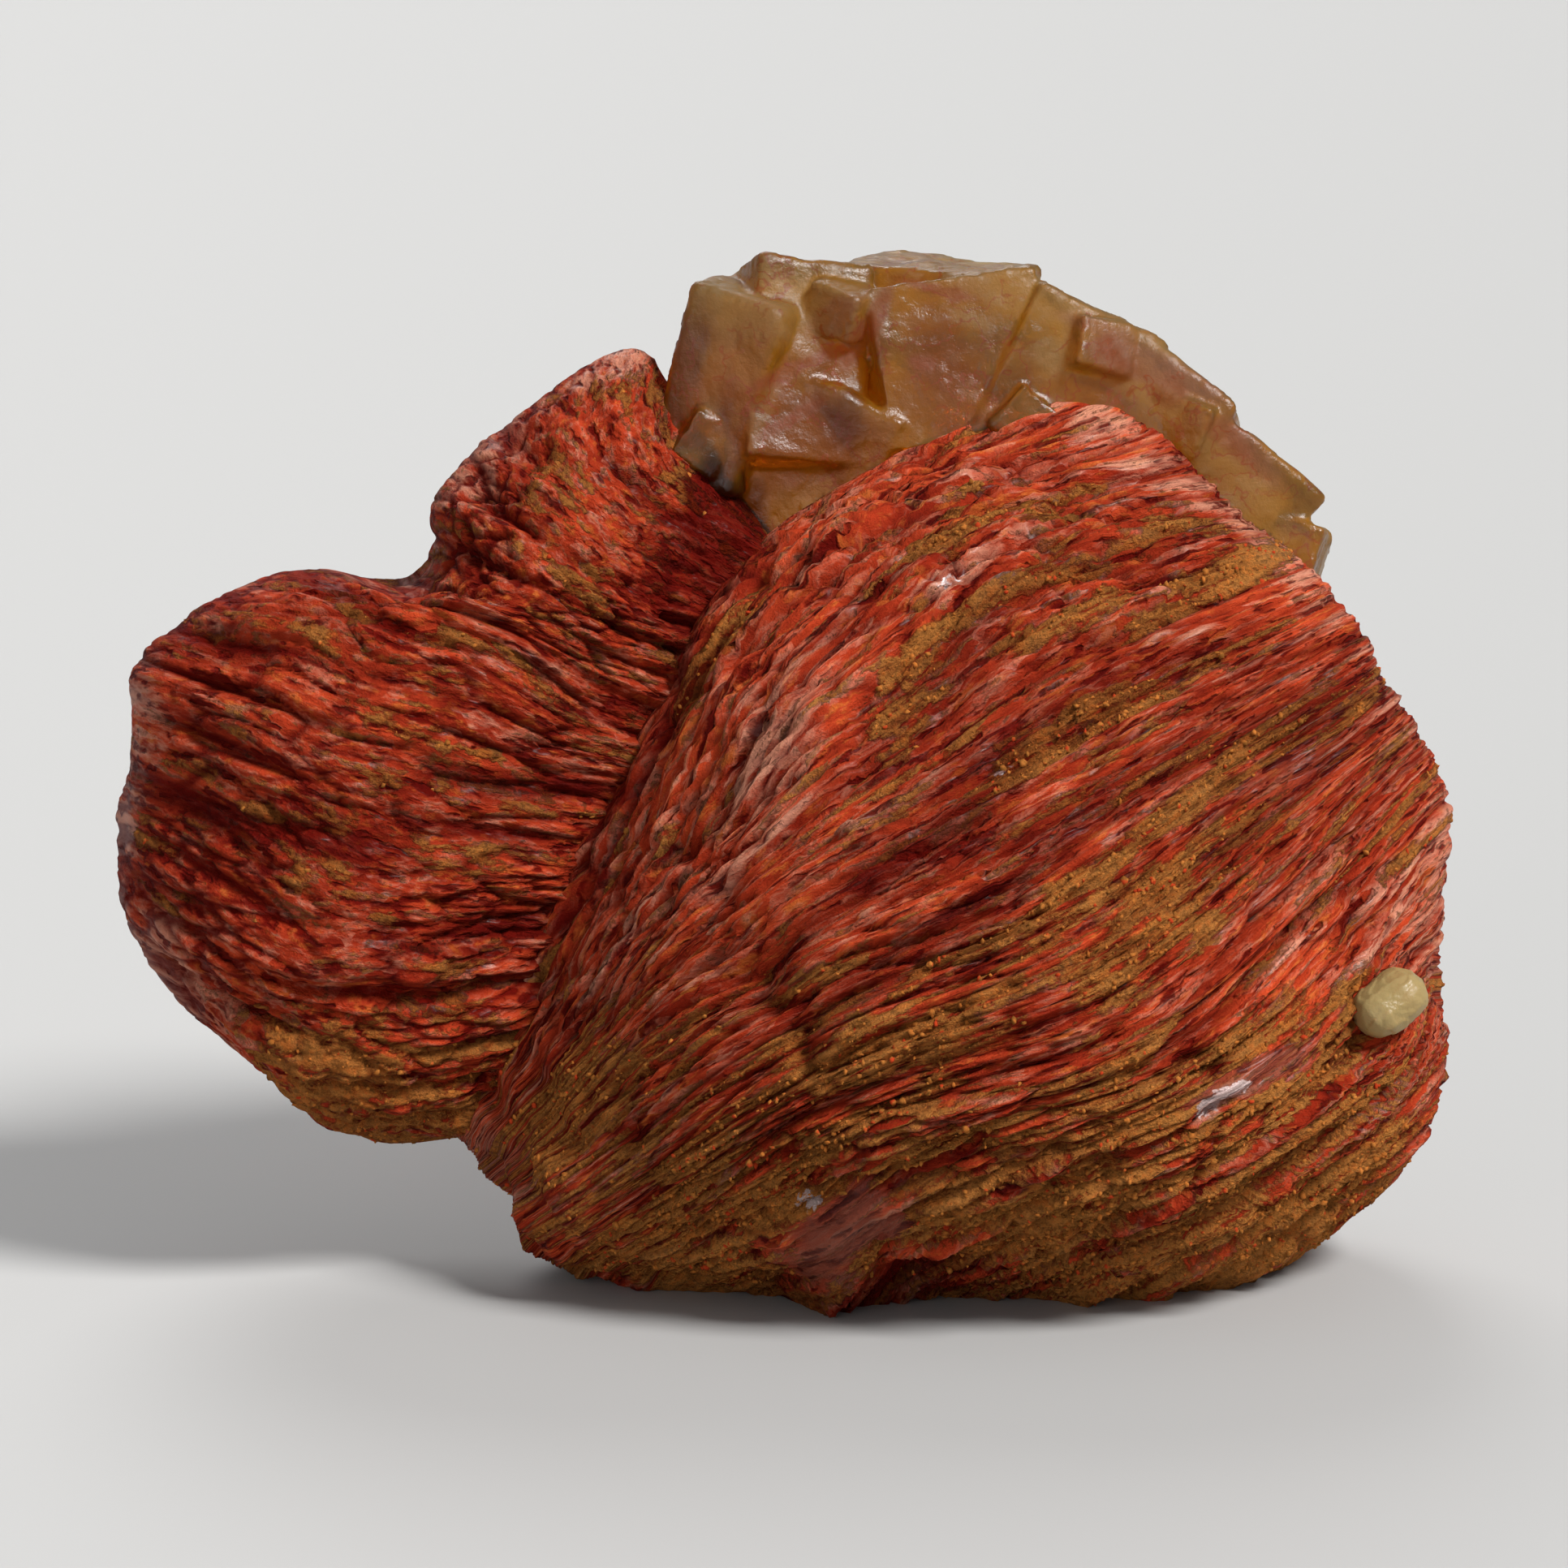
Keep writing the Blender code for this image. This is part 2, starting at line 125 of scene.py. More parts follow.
LEFT_FAN = Fan(
    blades=(
        ((2.5, 46.0), (-3.8, 52.0), (-6.6, 57.0), (-8.4, 61.6)),
        ((1.5, 42.5), (-6.3, 48.0), (-11.8, 53.0), (-15.4, 56.2)),
        ((0.5, 39.5), (-8.5, 43.3), (-15.5, 47.6), (-21.6, 50.6)),
        ((-0.5, 37.0), (-10.2, 40.6), (-17.8, 44.0), (-23.2, 45.6)),
        ((-1.5, 34.0), (-12.0, 37.8), (-22.5, 43.2), (-31.4, 45.6)),
        ((-3.0, 30.5), (-14.5, 34.0), (-26.5, 38.2), (-39.4, 41.0)),
        ((-5.0, 27.0), (-17.0, 29.0), (-29.0, 32.5), (-40.6, 36.0)),
        ((-7.0, 23.0), (-19.0, 23.5), (-30.0, 25.2), (-41.4, 29.4)),
        ((-9.0, 18.5), (-21.0, 17.6), (-31.0, 18.8), (-40.2, 22.8)),
        ((-11.5, 14.0), (-22.0, 13.0), (-30.0, 14.0), (-36.2, 18.0)),
        ((-14.0, 11.2), (-21.5, 10.2), (-27.0, 10.7), (-31.6, 15.0)),
    ),
    mid=(4.0, 4.0, 4.0, 4.0, 4.0, 4.0, 4.0, 4.0, 4.0, 4.0, 4.0),
    front=(
        (4.0, 6.0, 7.0, 6.0),
        (5.0, 8.0, 10.0, 8.0),
        (5.0, 9.0, 12.0, 10.0),
        (5.0, 9.5, 13.0, 11.0),
        (5.0, 10.0, 14.0, 12.0),
        (5.0, 11.0, 15.0, 12.0),
        (5.0, 11.5, 15.5, 12.0),
        (5.0, 12.0, 15.5, 12.0),
        (5.0, 11.5, 14.5, 11.0),
        (5.0, 10.0, 12.0, 10.0),
        (4.0, 7.0, 8.0, 7.0),
    ),
    back=(7.0, 9.0, 10.0, 11.0, 12.0, 12.0, 12.0, 12.0, 11.0, 9.0, 7.0),
    blade_count=17,
    around=26,
    lumps=(
        ((-22.6, 46.4), 3.0, -0.8),
        ((-38.0, 38.0), 3.2, 0.7),
        ((-36.5, 27.0), 4.0, 0.6),
        ((-30.0, 20.0), 4.0, -0.6),
    ),
    seed=23,
    climb=0.0,
    pitch=3.1,
    rugged=0.54,
    bruised=0.3,
    crumbs=900,
)

# Strides and a scale that make the sine of a lattice cell look random
SEED_STRIDE = 7.31
CELL_STRIDES = (12.9898, 78.233, 37.719)
SCATTER_SCALE = 43758.5453

# Outline of one blade, and how the stack of blades closes at its two outermost ones
BLADE_ROUNDNESS = 0.7
DEPTH_POWER = 5
LENGTH_POWER = 30
CAP_PLACES = (0.001, 0.004)
OUTER_BLADE = 0.25

# Relief of the blades in millimetres: how far each stands out, and the gaps between them
BLADE_STEP = 0.85
STAND_RANGE = (-0.5, 0.7)
SWELL = 0.5
SLANT = 0.3
WAVE_RANGE = (0.8, 2.2)
GAP_DEPTH = 1.0
GAP_SWING = 0.45
SHOULDER = 0.24
RELIEF_POWER = 8
FULL_WIDTH = 2.4
CROWDING = 1.5

# How far the grain of the low blades of the right fan climbs across them: it starts at that blade,
# reaches this many blades over a blade's length at the last one, and turns about that place along
CLIMB_START = 7.0
CLIMB_MOST = 12.0
CLIMB_MIDDLE = 0.5
CLIMB_POWER = 1.3

# Plates are as wide everywhere as if each blade were its fan's pitch wide at this place along it
PITCH_PLACE = 0.62
WIDEST_BLADE = 6.0

# Share of the solid's blade relief that the skin keeps under its plates, and the blade width from
# which plates have their full height
BLADE_SHARE = 0.9
PLATE_FULL_WIDTH = 1.7

# Units along a blade for the skin's noises and for the material's grain, the layer of each noise
# that is used, and how fast the grain changes with depth
FLOW_LENGTH = 10
FLOW_LAYER = 5.0
GRAIN_LENGTH = 30
GRAIN_LAYER = 5
GRAIN_DEPTH = 0.1

# How plates drift, tilt and crack, and how dark the painted shade in their cracks is
PLATE_DRIFT = 0.3
PLATE_DRIFT_SIZE = (2.5, 8.0)
PLATE_TILT = 1.3
CRACK_GAPS_SIZE = (3.0, 2.0, 1)
CRACK_DARKNESS = 1.8
BOLDNESS_MIDDLE = 0.75

# How far a plate's middle keeps from the sides of its lattice cell, how far it strays between them,
# and a distance beyond every middle
PLATE_MARGIN = 0.1
PLATE_SPREAD = 0.8
FAR = 9.0

# Heights, with a minus sign, between which the earth thickens downwards, the range over which a
# crust forms, how pale the rims are (partly their colour, partly a painted glow) and how much a pale
# patch counts
LOW_GROUND = (-22, -4)
CRUST_RANGE = (-0.25, 1.15)
RIM_PALENESS = 0.34
PATCH_PALENESS = 0.65

# Where painted shade fills the gaps, cracks break off, pale plate edges (partly a painted highlight on
# plates that stand out), pale rims and pits show; then, as places along a blade, where pale rims, lobes,
# rubble (with a minus sign) and the calmer relief of the rim begin and are full
GAP_RANGE = (0.1, 0.8)
CRACK_BREAKS = (-0.5, 0.4)
BRUISE_AND_HIGHLIGHT_RANGE = (0.5, 1.2)
RIM_SPREAD = (-0.3, 0.8)
PIT_RANGE = (0.3, 0.8)
RIM_PLACES = (0.93, 1.0)
LOBE_PLACES = (0.7, 1.0)
RUBBLE_PLACES = (-0.20, -0.04)
CALM_PLACES = (0.84, 0.985)

# How much of the relief is lost under a crust, on plum faces, in rubble and at the rim, and then
# the crust's own thickness, grit and pits, and the grit of bare barite, in millimetres
CRUST_CALM = 0.25
PLUM_CALM = 0.75
RUBBLE_CALM = 0.65
RIM_CALM = 0.75
CRUST_THICKNESS = 0.05
CRUST_GRIT = 0.34
CRUST_PITS = 0.5
BARE_GRIT = 0.09

# The first ring beside the caps, as a place across a fan, share of a ring's points on its front,
# and how far the patches of the front reach behind, by sine
FIRST_RING = 0.007
FORE_SHARE = 0.68
WRAP = (-0.3, 0.0)

# Crumbs of earth: half sizes, depth in the skin and height over the table in millimetres, how far
# they stray between the skin's points, the least crust that holds them, the largest cell of the
# skin that does, beside its usual one, and the ranges of their size and of their knobs
CRUMB_SIZES = (0.09, 0.20)
CRUMB_SINK = 0.07
CRUMB_CLEARANCE = 1.5
CRUMB_STRAY = 0.22
CRUMB_CRUST = 0.55
CRUMB_AREA = 3
CRUMB_SCALES = (0.45, 1.2)
CRUMB_KNOBS = (0.65, 1.35)

# How worn a crystal's edges are beside the solid's, and the growth steps on its faces
WORN_SHARE = 0.45
TERRACES = 3
TERRACE_RISE = 0.2

# Where a patch fades out and in, as its half size with a minus sign
PATCH_EDGE = (-1.35, -0.55)

# Shaders: how far the stripes waver, refraction, reflection beside full, and depth of the bumps
WAVER = 0.16
BARITE_IOR = 1.64
FLUORITE_IOR = 1.434
DULL_SPECULAR = 0.04
CLEAR_SPECULAR = 0.05
BARITE_BUMP = 0.0007
FLUORITE_BUMP = 0.0002

# Studio: each light's name, where it comes from, softness in degrees and power, then the room's own
# light, and the width of the camera's sensor in millimetres
LIGHTS = (
    ("key_light", (0.55, -0.44, 0.74), 18.0, 4.7),
    ("back_light", (-0.15, 0.75, 0.65), 30.0, 1.0),
    ("fill_light", (-0.35, -0.90, 0.14), 40.0, 0.65),
)
ROOM_COLOUR = (0.95, 0.97, 1.0)
ROOM_LIGHT = 0.36
SENSOR_WIDTH = 36.0

# Noises that shape the skins: height, size of the features and own seed. Bends and streaks run in
# blades and tenths of a blade's length, the others in millimetres.
BEND = ((0.45, (6.0, 5.0, 1.0), 0), (0.14, (1.8, 1.6, 1.0), 1))
STREAKS = ((1.0, (0.35, 1.1, 1.0), 5),)
FINE_STREAKS = ((1.0, (0.14, 0.45, 1.0), 9),)
FRAY = ((0.35, 2.2, 3), (0.25, 0.8, 4))
DRIFT = ((1.0, 8.0, 6),)
GRIT = ((0.55, 0.7, 40), (0.45, 0.35, 41))
PITS = ((1.0, 1.3, 42),)
LOBES = ((0.55, 6.0, 43),)
CHUNKS = ((0.7, 2.2, 44), (0.35, 1.1, 45))
BOLDNESS = ((0.5, 6.0, 50),)
CRYSTAL_WEAR = ((0.16, 4.0, 0), (0.07, 1.2, 1))
CRYSTAL_GROWTH = ((1.0, 3.0, 2), (0.3, 0.9, 5))
CRYSTAL_FRAY = ((0.4, 1.5, 3),)

# What the crust of earth gathers by, and how much each counts
CRUST_SHARES = {"patch": 0.75, "stain": 0.7, "drift": 0.2, "streaks": 0.35, "fine_streaks": 0.3,
                "stand": -0.35, "low": 0.35, "behind": 0.1, "pale": -0.6}

# Plates that each blade is split into: how many fit across and along one blade, how far they step
# out, how deep the cracks between them are, both in millimetres, how wide a crack is, and how much
# the plates of this size count in the blades' tint and in the crust's spread
Plates = namedtuple("Plates", "across along step crack width tint stain")
PLATES = (
    Plates(1.5, 6.0, 0.40, 0.80, 0.17, 0.45, 0.45),
    Plates(2.9, 11.0, 0.36, 0.66, 0.20, 0.35, 0.35),
    Plates(5.8, 20.0, 0.17, 0.30, 0.26, 0.20, 0.25),
)

# Patches on the side that faces the viewer: the middle's u and v, half length and half width in
# millimetres, turn in degrees and strength
Patch = namedtuple("Patch", "u v long wide turn strength")


def patches(*rows):
    """Patches from rows of their values."""
    return [Patch(*row) for row in rows]


RIGHT_COATS = {
    "crust": patches(
        (8.2, 39.8, 5.2, 2.2, 56, 1.3), (10.4, 48.6, 2.8, 1.5, 30, 0.7),
        (18.5, 51.6, 6.0, 1.2, 32, 0.6), (27.0, 45.2, 6.5, 1.7, 25, 0.9),
        (17.6, 42.8, 5.0, 1.4, 25, 0.7), (17.8, 35.6, 7.0, 1.7, 25, 1.0),
        (30.0, 34.5, 7.0, 1.5, 27, 0.6), (20.5, 23.5, 7.0, 4.0, 25, 1.1),
        (9.5, 17.5, 9.0, 2.6, 20, 0.8), (26.0, 14.0, 10.0, 4.0, 22, 0.7),
        (4.0, 8.0, 18.0, 4.5, 4, 0.6), (-6.0, 3.5, 8.0, 2.6, -18, 0.9),
        (-13.0, 11.5, 5.0, 4.0, 60, 0.6), (28.0, 4.0, 13.0, 4.0, 4, 0.8),
        (34.0, 11.0, 5.0, 5.0, 0, 0.5),
    ),
    # Pale patches: mostly pale barite; those at (11.1, 45.8) and (27.0, 12.8) lie under glints and are a
    # painted highlight
    "pale": patches(
        (-0.6, 33.5, 7.0, 2.0, 62, 0.8), (-3.5, 27.5, 4.0, 1.2, 65, 0.5),
        (0.6, 38.5, 3.0, 1.2, 40, 0.8), (11.1, 45.8, 2.4, 0.7, 35, 1.2),
        (20.0, 54.0, 8.0, 1.4, -32, 0.7), (31.0, 46.5, 6.0, 1.6, -48, 0.7),
        (36.5, 24.0, 3.0, 2.5, 40, 0.6), (-18.0, 9.0, 4.0, 2.0, -50, 0.6),
        (27.0, 12.8, 1.8, 0.8, 38, 1.6),
    ),
    # Painted highlights: small white glints on glassy faces
    "glint": patches(
        (27.0, 12.9, 1.8, 0.7, 38, 1.0), (1.3, 7.0, 1.0, 0.4, 10, 0.6),
        (10.4, 45.4, 1.4, 0.35, 35, 0.5), (13.1, 33.5, 0.9, 0.3, 30, 0.6),
    ),
    # Painted shade, mostly along the crease between the fans; the rest darkens the middle and the foot
    "shade": patches(
        (-3.0, 45.5, 6.0, 0.8, 60, 0.6), (-9.5, 34.0, 17.0, 1.6, 62, 0.45),
        (9.5, 30.5, 7.0, 3.0, 40, 0.35), (6.0, 1.6, 9.0, 1.4, 0, 0.5),
    ),
    "plum": patches(
        (3.0, 5.0, 4.6, 1.9, 20, 1.0), (29.2, 14.6, 4.5, 1.0, 28, 0.8),
        (31.5, 33.6, 3.6, 1.2, 28, 0.5),
    ),
}
LEFT_COATS = {
    "crust": patches(
        (-27.0, 12.5, 9.0, 3.2, -10, 0.7), (-29.0, 27.5, 5.0, 1.6, -14, 0.5),
        (-12.5, 44.0, 5.0, 0.9, -35, 0.6), (-20.0, 41.5, 6.0, 0.7, -18, 0.5),
        (-22.0, 35.0, 5.0, 0.8, -22, 0.5), (-38.0, 40.5, 2.6, 1.2, 10, 0.5),
    ),
    # Pale patches and rims: partly pale barite, partly a painted glow where the rims catch the light
    "pale": patches(
        (-42.4, 31.0, 2.2, 8.0, 4, 1.2), (-37.4, 19.5, 2.2, 5.5, 30, 1.2),
        (-18.4, 52.6, 4.0, 1.2, 45, 1.0), (-9.8, 59.6, 3.5, 1.6, 30, 1.1),
        (-14.0, 39.0, 4.5, 0.6, -38, 0.7), (-39.4, 37.8, 1.4, 3.4, 10, 1.1),
    ),
    "glint": (),
    # Painted shade near the crease between the fans, and faintly over the whole left fan, which gets less
    # light
    "shade": patches(
        (-3.8, 49.6, 2.6, 3.8, 20, 1.0), (-22.0, 33.0, 40.0, 36.0, 0, 0.24),
        (-7.0, 40.0, 3.0, 8.0, 30, 0.4), (-6.0, 44.5, 3.6, 5.0, 30, 0.7),
    ),
    "plum": patches(
        (-19.0, 42.8, 1.6, 0.5, -10, 0.6),
    ),
}

# Fluorite cubes: centre (u, w, v), edge lengths, turn in degrees about u, w and v, and worn edge
FLUORITE_CUBES = (
    ((-3.2, 4.6, 57.2), (6.4, 9.0, 12.4), (6, 18, -16), 1.4),
    ((0.4, 5.4, 58.0), (7.4, 9.0, 13.0), (-8, 6, 14), 1.0),
    ((2.4, 6.6, 52.0), (9.0, 10.0, 12.0), (10, 24, -10), 0.8),
    ((10.4, 5.4, 58.4), (10.6, 9.0, 10.4), (-4, -8, 8), 0.5),
    ((9.4, 8.6, 59.4), (10.6, 9.0, 11.6), (8, 6, -22), 0.9),
    ((16.6, 6.0, 57.2), (9.0, 9.0, 10.4), (4, 26, 14), 0.8),
    ((21.6, 6.4, 53.6), (9.2, 9.6, 11.0), (-8, 36, -10), 1.0),
    ((26.0, 6.6, 49.2), (9.0, 9.6, 10.6), (6, 38, 16), 0.9),
    ((29.0, 7.0, 44.6), (7.6, 9.0, 9.6), (-6, 18, -8), 0.9),
    ((4.0, 11.0, 53.6), (14.0, 8.0, 13.0), (6, 18, 22), 1.0),
    ((16.0, 11.4, 51.6), (15.0, 8.4, 12.6), (12, 32, -14), 1.0),
    ((3.6, 1.9, 61.8), (3.6, 3.4, 3.0), (10, 20, -30), 0.3),
    ((14.8, 1.6, 54.8), (3.8, 3.2, 3.4), (8, 40, 15), 0.3),
    ((19.0, 2.4, 59.4), (3.8, 3.4, 3.2), (-6, 12, 30), 0.3),
    ((24.8, 2.8, 54.8), (4.0, 3.6, 3.4), (4, 22, -24), 0.4),
    ((-5.2, 1.6, 53.6), (3.2, 3.0, 3.4), (5, 32, 12), 0.4),
    ((-2.4, 12.4, 57.4), (5.4, 5.0, 5.6), (20, 30, 12), 0.5),
    ((11.0, 15.0, 57.4), (6.4, 5.0, 6.0), (12, -20, 30), 0.5),
    ((23.0, 13.6, 47.6), (6.6, 6.0, 6.4), (-14, 26, 18), 0.6),
)
GRAIN = ((36.2, -11.4, 19.3), (5.0, 3.8, 3.3), (6, -36, 14), 3.6)
FLUORITE_COATS = {
    "milk": patches(
        (-1.0, 62.0, 4.5, 2.2, 0, 0.9), (-3.9, 60.0, 0.9, 4.5, -10, 0.7),
        (-1.6, 55.0, 0.6, 3.0, -20, 0.5), (15.0, 62.5, 7.0, 1.4, -20, 0.7),
        (16.6, 59.0, 1.6, 1.6, 0, 1.0), (3.6, 61.8, 2.6, 1.4, 30, 0.6),
        (11.6, 61.0, 1.4, 0.6, -20, 0.8), (22.5, 58.0, 5.0, 2.0, -32, 0.7),
        (28.0, 51.0, 4.0, 2.0, -50, 0.5),
    ),
    "rust": patches(
        (8.4, 58.4, 0.9, 0.5, -10, 1.2), (9.4, 62.9, 2.8, 0.35, -15, 1.0),
        (10.4, 62.6, 0.6, 0.5, 0, 1.2), (0.5, 58.0, 3.4, 0.5, 25, 0.9),
        (0.4, 55.0, 3.0, 0.4, 30, 0.8), (5.0, 60.5, 2.8, 0.6, 60, 1.0),
        (20.0, 58.5, 2.2, 0.9, -30, 0.9), (23.8, 56.6, 1.2, 0.9, 0, 0.9),
        (27.5, 53.5, 2.5, 0.7, -45, 0.8), (19.6, 59.7, 0.7, 0.5, 0, 1.0),
    ),
    "bloom": patches(
        (21.5, 58.5, 3.6, 1.1, -28, 0.9), (25.2, 57.0, 2.0, 1.1, -20, 0.8),
        (19.2, 60.6, 2.4, 0.6, -20, 0.8), (29.0, 52.5, 3.0, 0.8, -50, 0.7),
        (3.4, 61.6, 2.4, 0.8, 35, 0.5),
    ),
    "amber": patches(
        (-5.4, 57.0, 2.4, 4.5, 0, 1.0), (1.0, 54.0, 4.0, 3.0, 0, 0.8),
        (10.0, 56.0, 4.0, 2.4, 0, 0.5),
    ),
    # Painted shade in the deep recess between the crystals and the left fan
    "recess_shade": patches(
        (-3.6, 49.4, 2.0, 3.6, 20, 1.0), (3.6, 55.0, 1.6, 2.0, 0, 0.6),
    ),
}
NO_COATS = dict.fromkeys(FLUORITE_COATS, ())


def colour(name, description, default):
    """A colour that a user can change."""
    return FloatVectorProperty(name=name, description=description, size=3, subtype="COLOR", default=default)


def whole_number(name, description, default):
    """A whole number that a user can change."""
    return IntProperty(name=name, description=description, default=default)


class BariteSettings(bpy.types.PropertyGroup):
    """Sizes and colours of the barite."""
    right_rings: whole_number("Right rings", "Rings across the right fan", 384)
    right_around: whole_number("Right steps", "Steps around each ring of the right fan", 256)
    left_rings: whole_number("Left rings", "Rings across the left fan", 384)
    left_around: whole_number("Left steps", "Steps around each ring of the left fan", 240)
    red: colour("Red", "Fresh face of a barite blade", (0.69, 0.078, 0.022))
    deep_red: colour("Deep red", "Iron-stained barite between the blades", (0.32, 0.022, 0.006))
    # Pale edges: partly clear barite, partly a painted highlight on plates that stand out and a painted glow
    # on the rims
    pale: colour("Pale edge", "Clear and bruised blade edges", (0.80, 0.38, 0.24))
    plum: colour("Plum", "Smooth mauve blade faces", (0.20, 0.050, 0.026))
    # Painted highlight: white laid on the glint patches and on random sparkles
    painted_highlight: colour("White", "Fresh breaks that catch the light", (0.80, 0.58, 0.54))
    ochre: colour("Ochre", "Iron oxide crust", (0.74, 0.290, 0.062))
    orange: colour("Orange", "Bright specks in the crust", (0.80, 0.240, 0.042))
    olive: colour("Olive", "Darker earth in the crust", (0.33, 0.140, 0.030))
    # Painted shade: darkens the gaps, cracks and pits between the blades, the crease between the fans and
    # the dimmer left fan
    painted_shade_tint: colour("Gap tint", "Darkens the gaps between the blades", (0.22, 0.05, 0.03))
    crumb_tint: colour("Crumb tint", "Darkens the crumbs of earth", (0.52, 0.46, 0.43))


class FluoriteSettings(bpy.types.PropertyGroup):
    """Sizes and colours of the fluorite."""
    voxel: FloatProperty(name="Fineness", description="Size of the crystals' mesh cells", default=0.00024,
                         unit="LENGTH")
    honey: colour("Honey", "Clear fluorite", (0.55, 0.32, 0.022))
    amber: colour("Amber", "Deeper coloured fluorite", (0.36, 0.145, 0.006))
    milk: colour("Milk", "Cloudy fluorite", (0.62, 0.43, 0.11))
    bloom: colour("Bloom", "Pinkish crust on the crystals", (0.46, 0.22, 0.14))
    grain: colour("Grain", "The small pale crystal", (0.50, 0.37, 0.15))
    rust: colour("Rust", "Iron-stained cracks", (0.46, 0.12, 0.015))
    # Painted shade: darkens the fluorite in the recess beside the left fan
    recess_shade_tint: colour("Smoke tint", "Darkens the smoky parts", (0.22, 0.10, 0.05))
    depth_colour: colour("Depth colour", "Colour of light after its way through", (0.86, 0.58, 0.12))
    depth_density: FloatProperty(name="Depth density", description="How fast light is taken up, per metre",
                                 default=230.0)


class StageSettings(bpy.types.PropertyGroup):
    """The floor, the light and the camera."""
    floor_radius: FloatProperty(name="Floor radius", description="Radius of the floor", default=4.0,
                                unit="LENGTH")
    floor: colour("Floor colour", "Colour of the floor", (0.40, 0.395, 0.385))
    camera_distance: FloatProperty(name="Camera distance", description="From the lens to the specimen",
                                   default=0.45, unit="LENGTH")
    view_width: FloatProperty(name="View width", description="Width seen at the specimen", default=0.0966,
                              unit="LENGTH")


def standing():
    """Turn from the picture plane (u, w, v in millimetres) to the table (metres)."""
    lean = Matrix.Rotation(-LEAN_BACK, 4, "X")
    return Matrix.Scale(MM, 4) @ Matrix.Translation((0.0, 0.0, -TABLE_LEVEL)) @ lean


def to_table(points):
    """Picture-plane points, as an array, on the table and centred as the solids are."""
    turn = np.array(standing())
    return points @ turn[:3, :3].T + turn[:3, 3] + CENTRING


def scatter(seed, *cells):
    """A repeatable random number, 0 to 1, for each cell of a lattice."""
    total = seed * SEED_STRIDE
    for cell, stride in zip(cells, CELL_STRIDES):
        total = total + cell * stride
    return np.modf(np.abs(np.sin(total)) * SCATTER_SCALE)[0]


def lattice_noise(points, size, seed):
    """Smooth random values between -1 and 1 for points, with features of that size."""
    scaled = points / np.array(size, dtype=float)
    cells = np.floor(scaled)
    shares = scaled - cells
    shares = shares * shares * (3 - 2 * shares)
    total = 0.0
    for corner in itertools.product((0, 1), repeat=3):
        weight = 1.0
        for axis, far in enumerate(corner):
            weight = weight * (shares[..., axis] if far else 1 - shares[..., axis])
        total = total + weight * scatter(seed, *(cells[..., axis] + corner[axis] for axis in range(3)))
    return 2 * total - 1


def layered_noise(points, layers, seed):
    """Noises added up, each given by its height, the size of its features and its own seed."""
    return sum(height * lattice_noise(points, size, seed + own) for height, size, own in layers)


def ramp(values, low, high):
    """Values eased from 0 at low to 1 at high."""
    share = np.clip((values - low) / (high - low), 0, 1)
    return share * share * (3 - 2 * share)


def spline_weights(places, count):
    """Weights of a smooth curve through evenly spaced stations, one row for each place."""
    cell = np.clip(np.floor(places), 0, count - 2).astype(int)
    f = places - cell
    basis = (
        0.5 * (-f + 2 * f ** 2 - f ** 3),
        0.5 * (2 - 5 * f ** 2 + 3 * f ** 3),
        0.5 * (f + 4 * f ** 2 - 3 * f ** 3),
        0.5 * (-f ** 2 + f ** 3),
    )
    weights = np.zeros((len(places), count + 2))
    rows = np.arange(len(places))
    for step, share in enumerate(basis):
        weights[rows, cell + step] += share
    first, last = weights[:, 0], weights[:, -1]
    inner = weights[:, 1:-1]
    inner[:, 0] += 2 * first
    inner[:, 1] -= first
    inner[:, -1] += 2 * last
    inner[:, -2] -= last
    return inner


def blade_rings(blade_count):
    """Places across the fan, 0 to 1, with three for each blade: its gap and two shoulders."""
    places = []
    for blade in range(blade_count):
        places += [blade, blade + SHOULDER, blade + 1 - SHOULDER]
    places.append(blade_count)
    margin = OUTER_BLADE / blade_count
    span = margin + np.array(places, dtype=float) / blade_count * (1 - 2 * margin)
    caps = np.array(CAP_PLACES)
    return np.concatenate([caps, span, 1 - caps[::-1]])


def blade_relief(fan, across, along):
    """Height of the blades at places across and along the fan, in millimetres."""
    random = np.random.default_rng(fan.seed)
    rows = []
    for blade in range(fan.blade_count + 1):
        waves = random.uniform(*WAVE_RANGE, 2)
        phases = random.uniform(0, 2 * math.pi, 3)
        depth = 1 + GAP_SWING * (np.sin(2 * math.pi * waves[0] * along + phases[0]) - 1)
        rows.append(-GAP_DEPTH * depth)
        if blade == fan.blade_count:
            break
        stand = random.uniform(*STAND_RANGE)
        swell = SWELL * np.sin(2 * math.pi * waves[1] * along + phases[1])
        slant = SLANT * np.sin(2 * math.pi * along + phases[2])
        rows.append(BLADE_STEP * (stand + swell + slant))
        rows.append(BLADE_STEP * (stand + swell - slant))
    caps = len(CAP_PLACES)
    rows = np.pad(np.stack(rows), ((caps, caps), (0, 0), (0, 0)), mode="edge")
    places = blade_rings(fan.blade_count)
    after = np.clip(np.searchsorted(places, across), 1, len(places) - 1)
    share = np.clip((across - places[after - 1]) / (places[after] - places[after - 1]), 0, 1)
    ring, step = np.indices(across.shape)
    return rows[after - 1, ring, step] * (1 - share) + rows[after, ring, step] * share


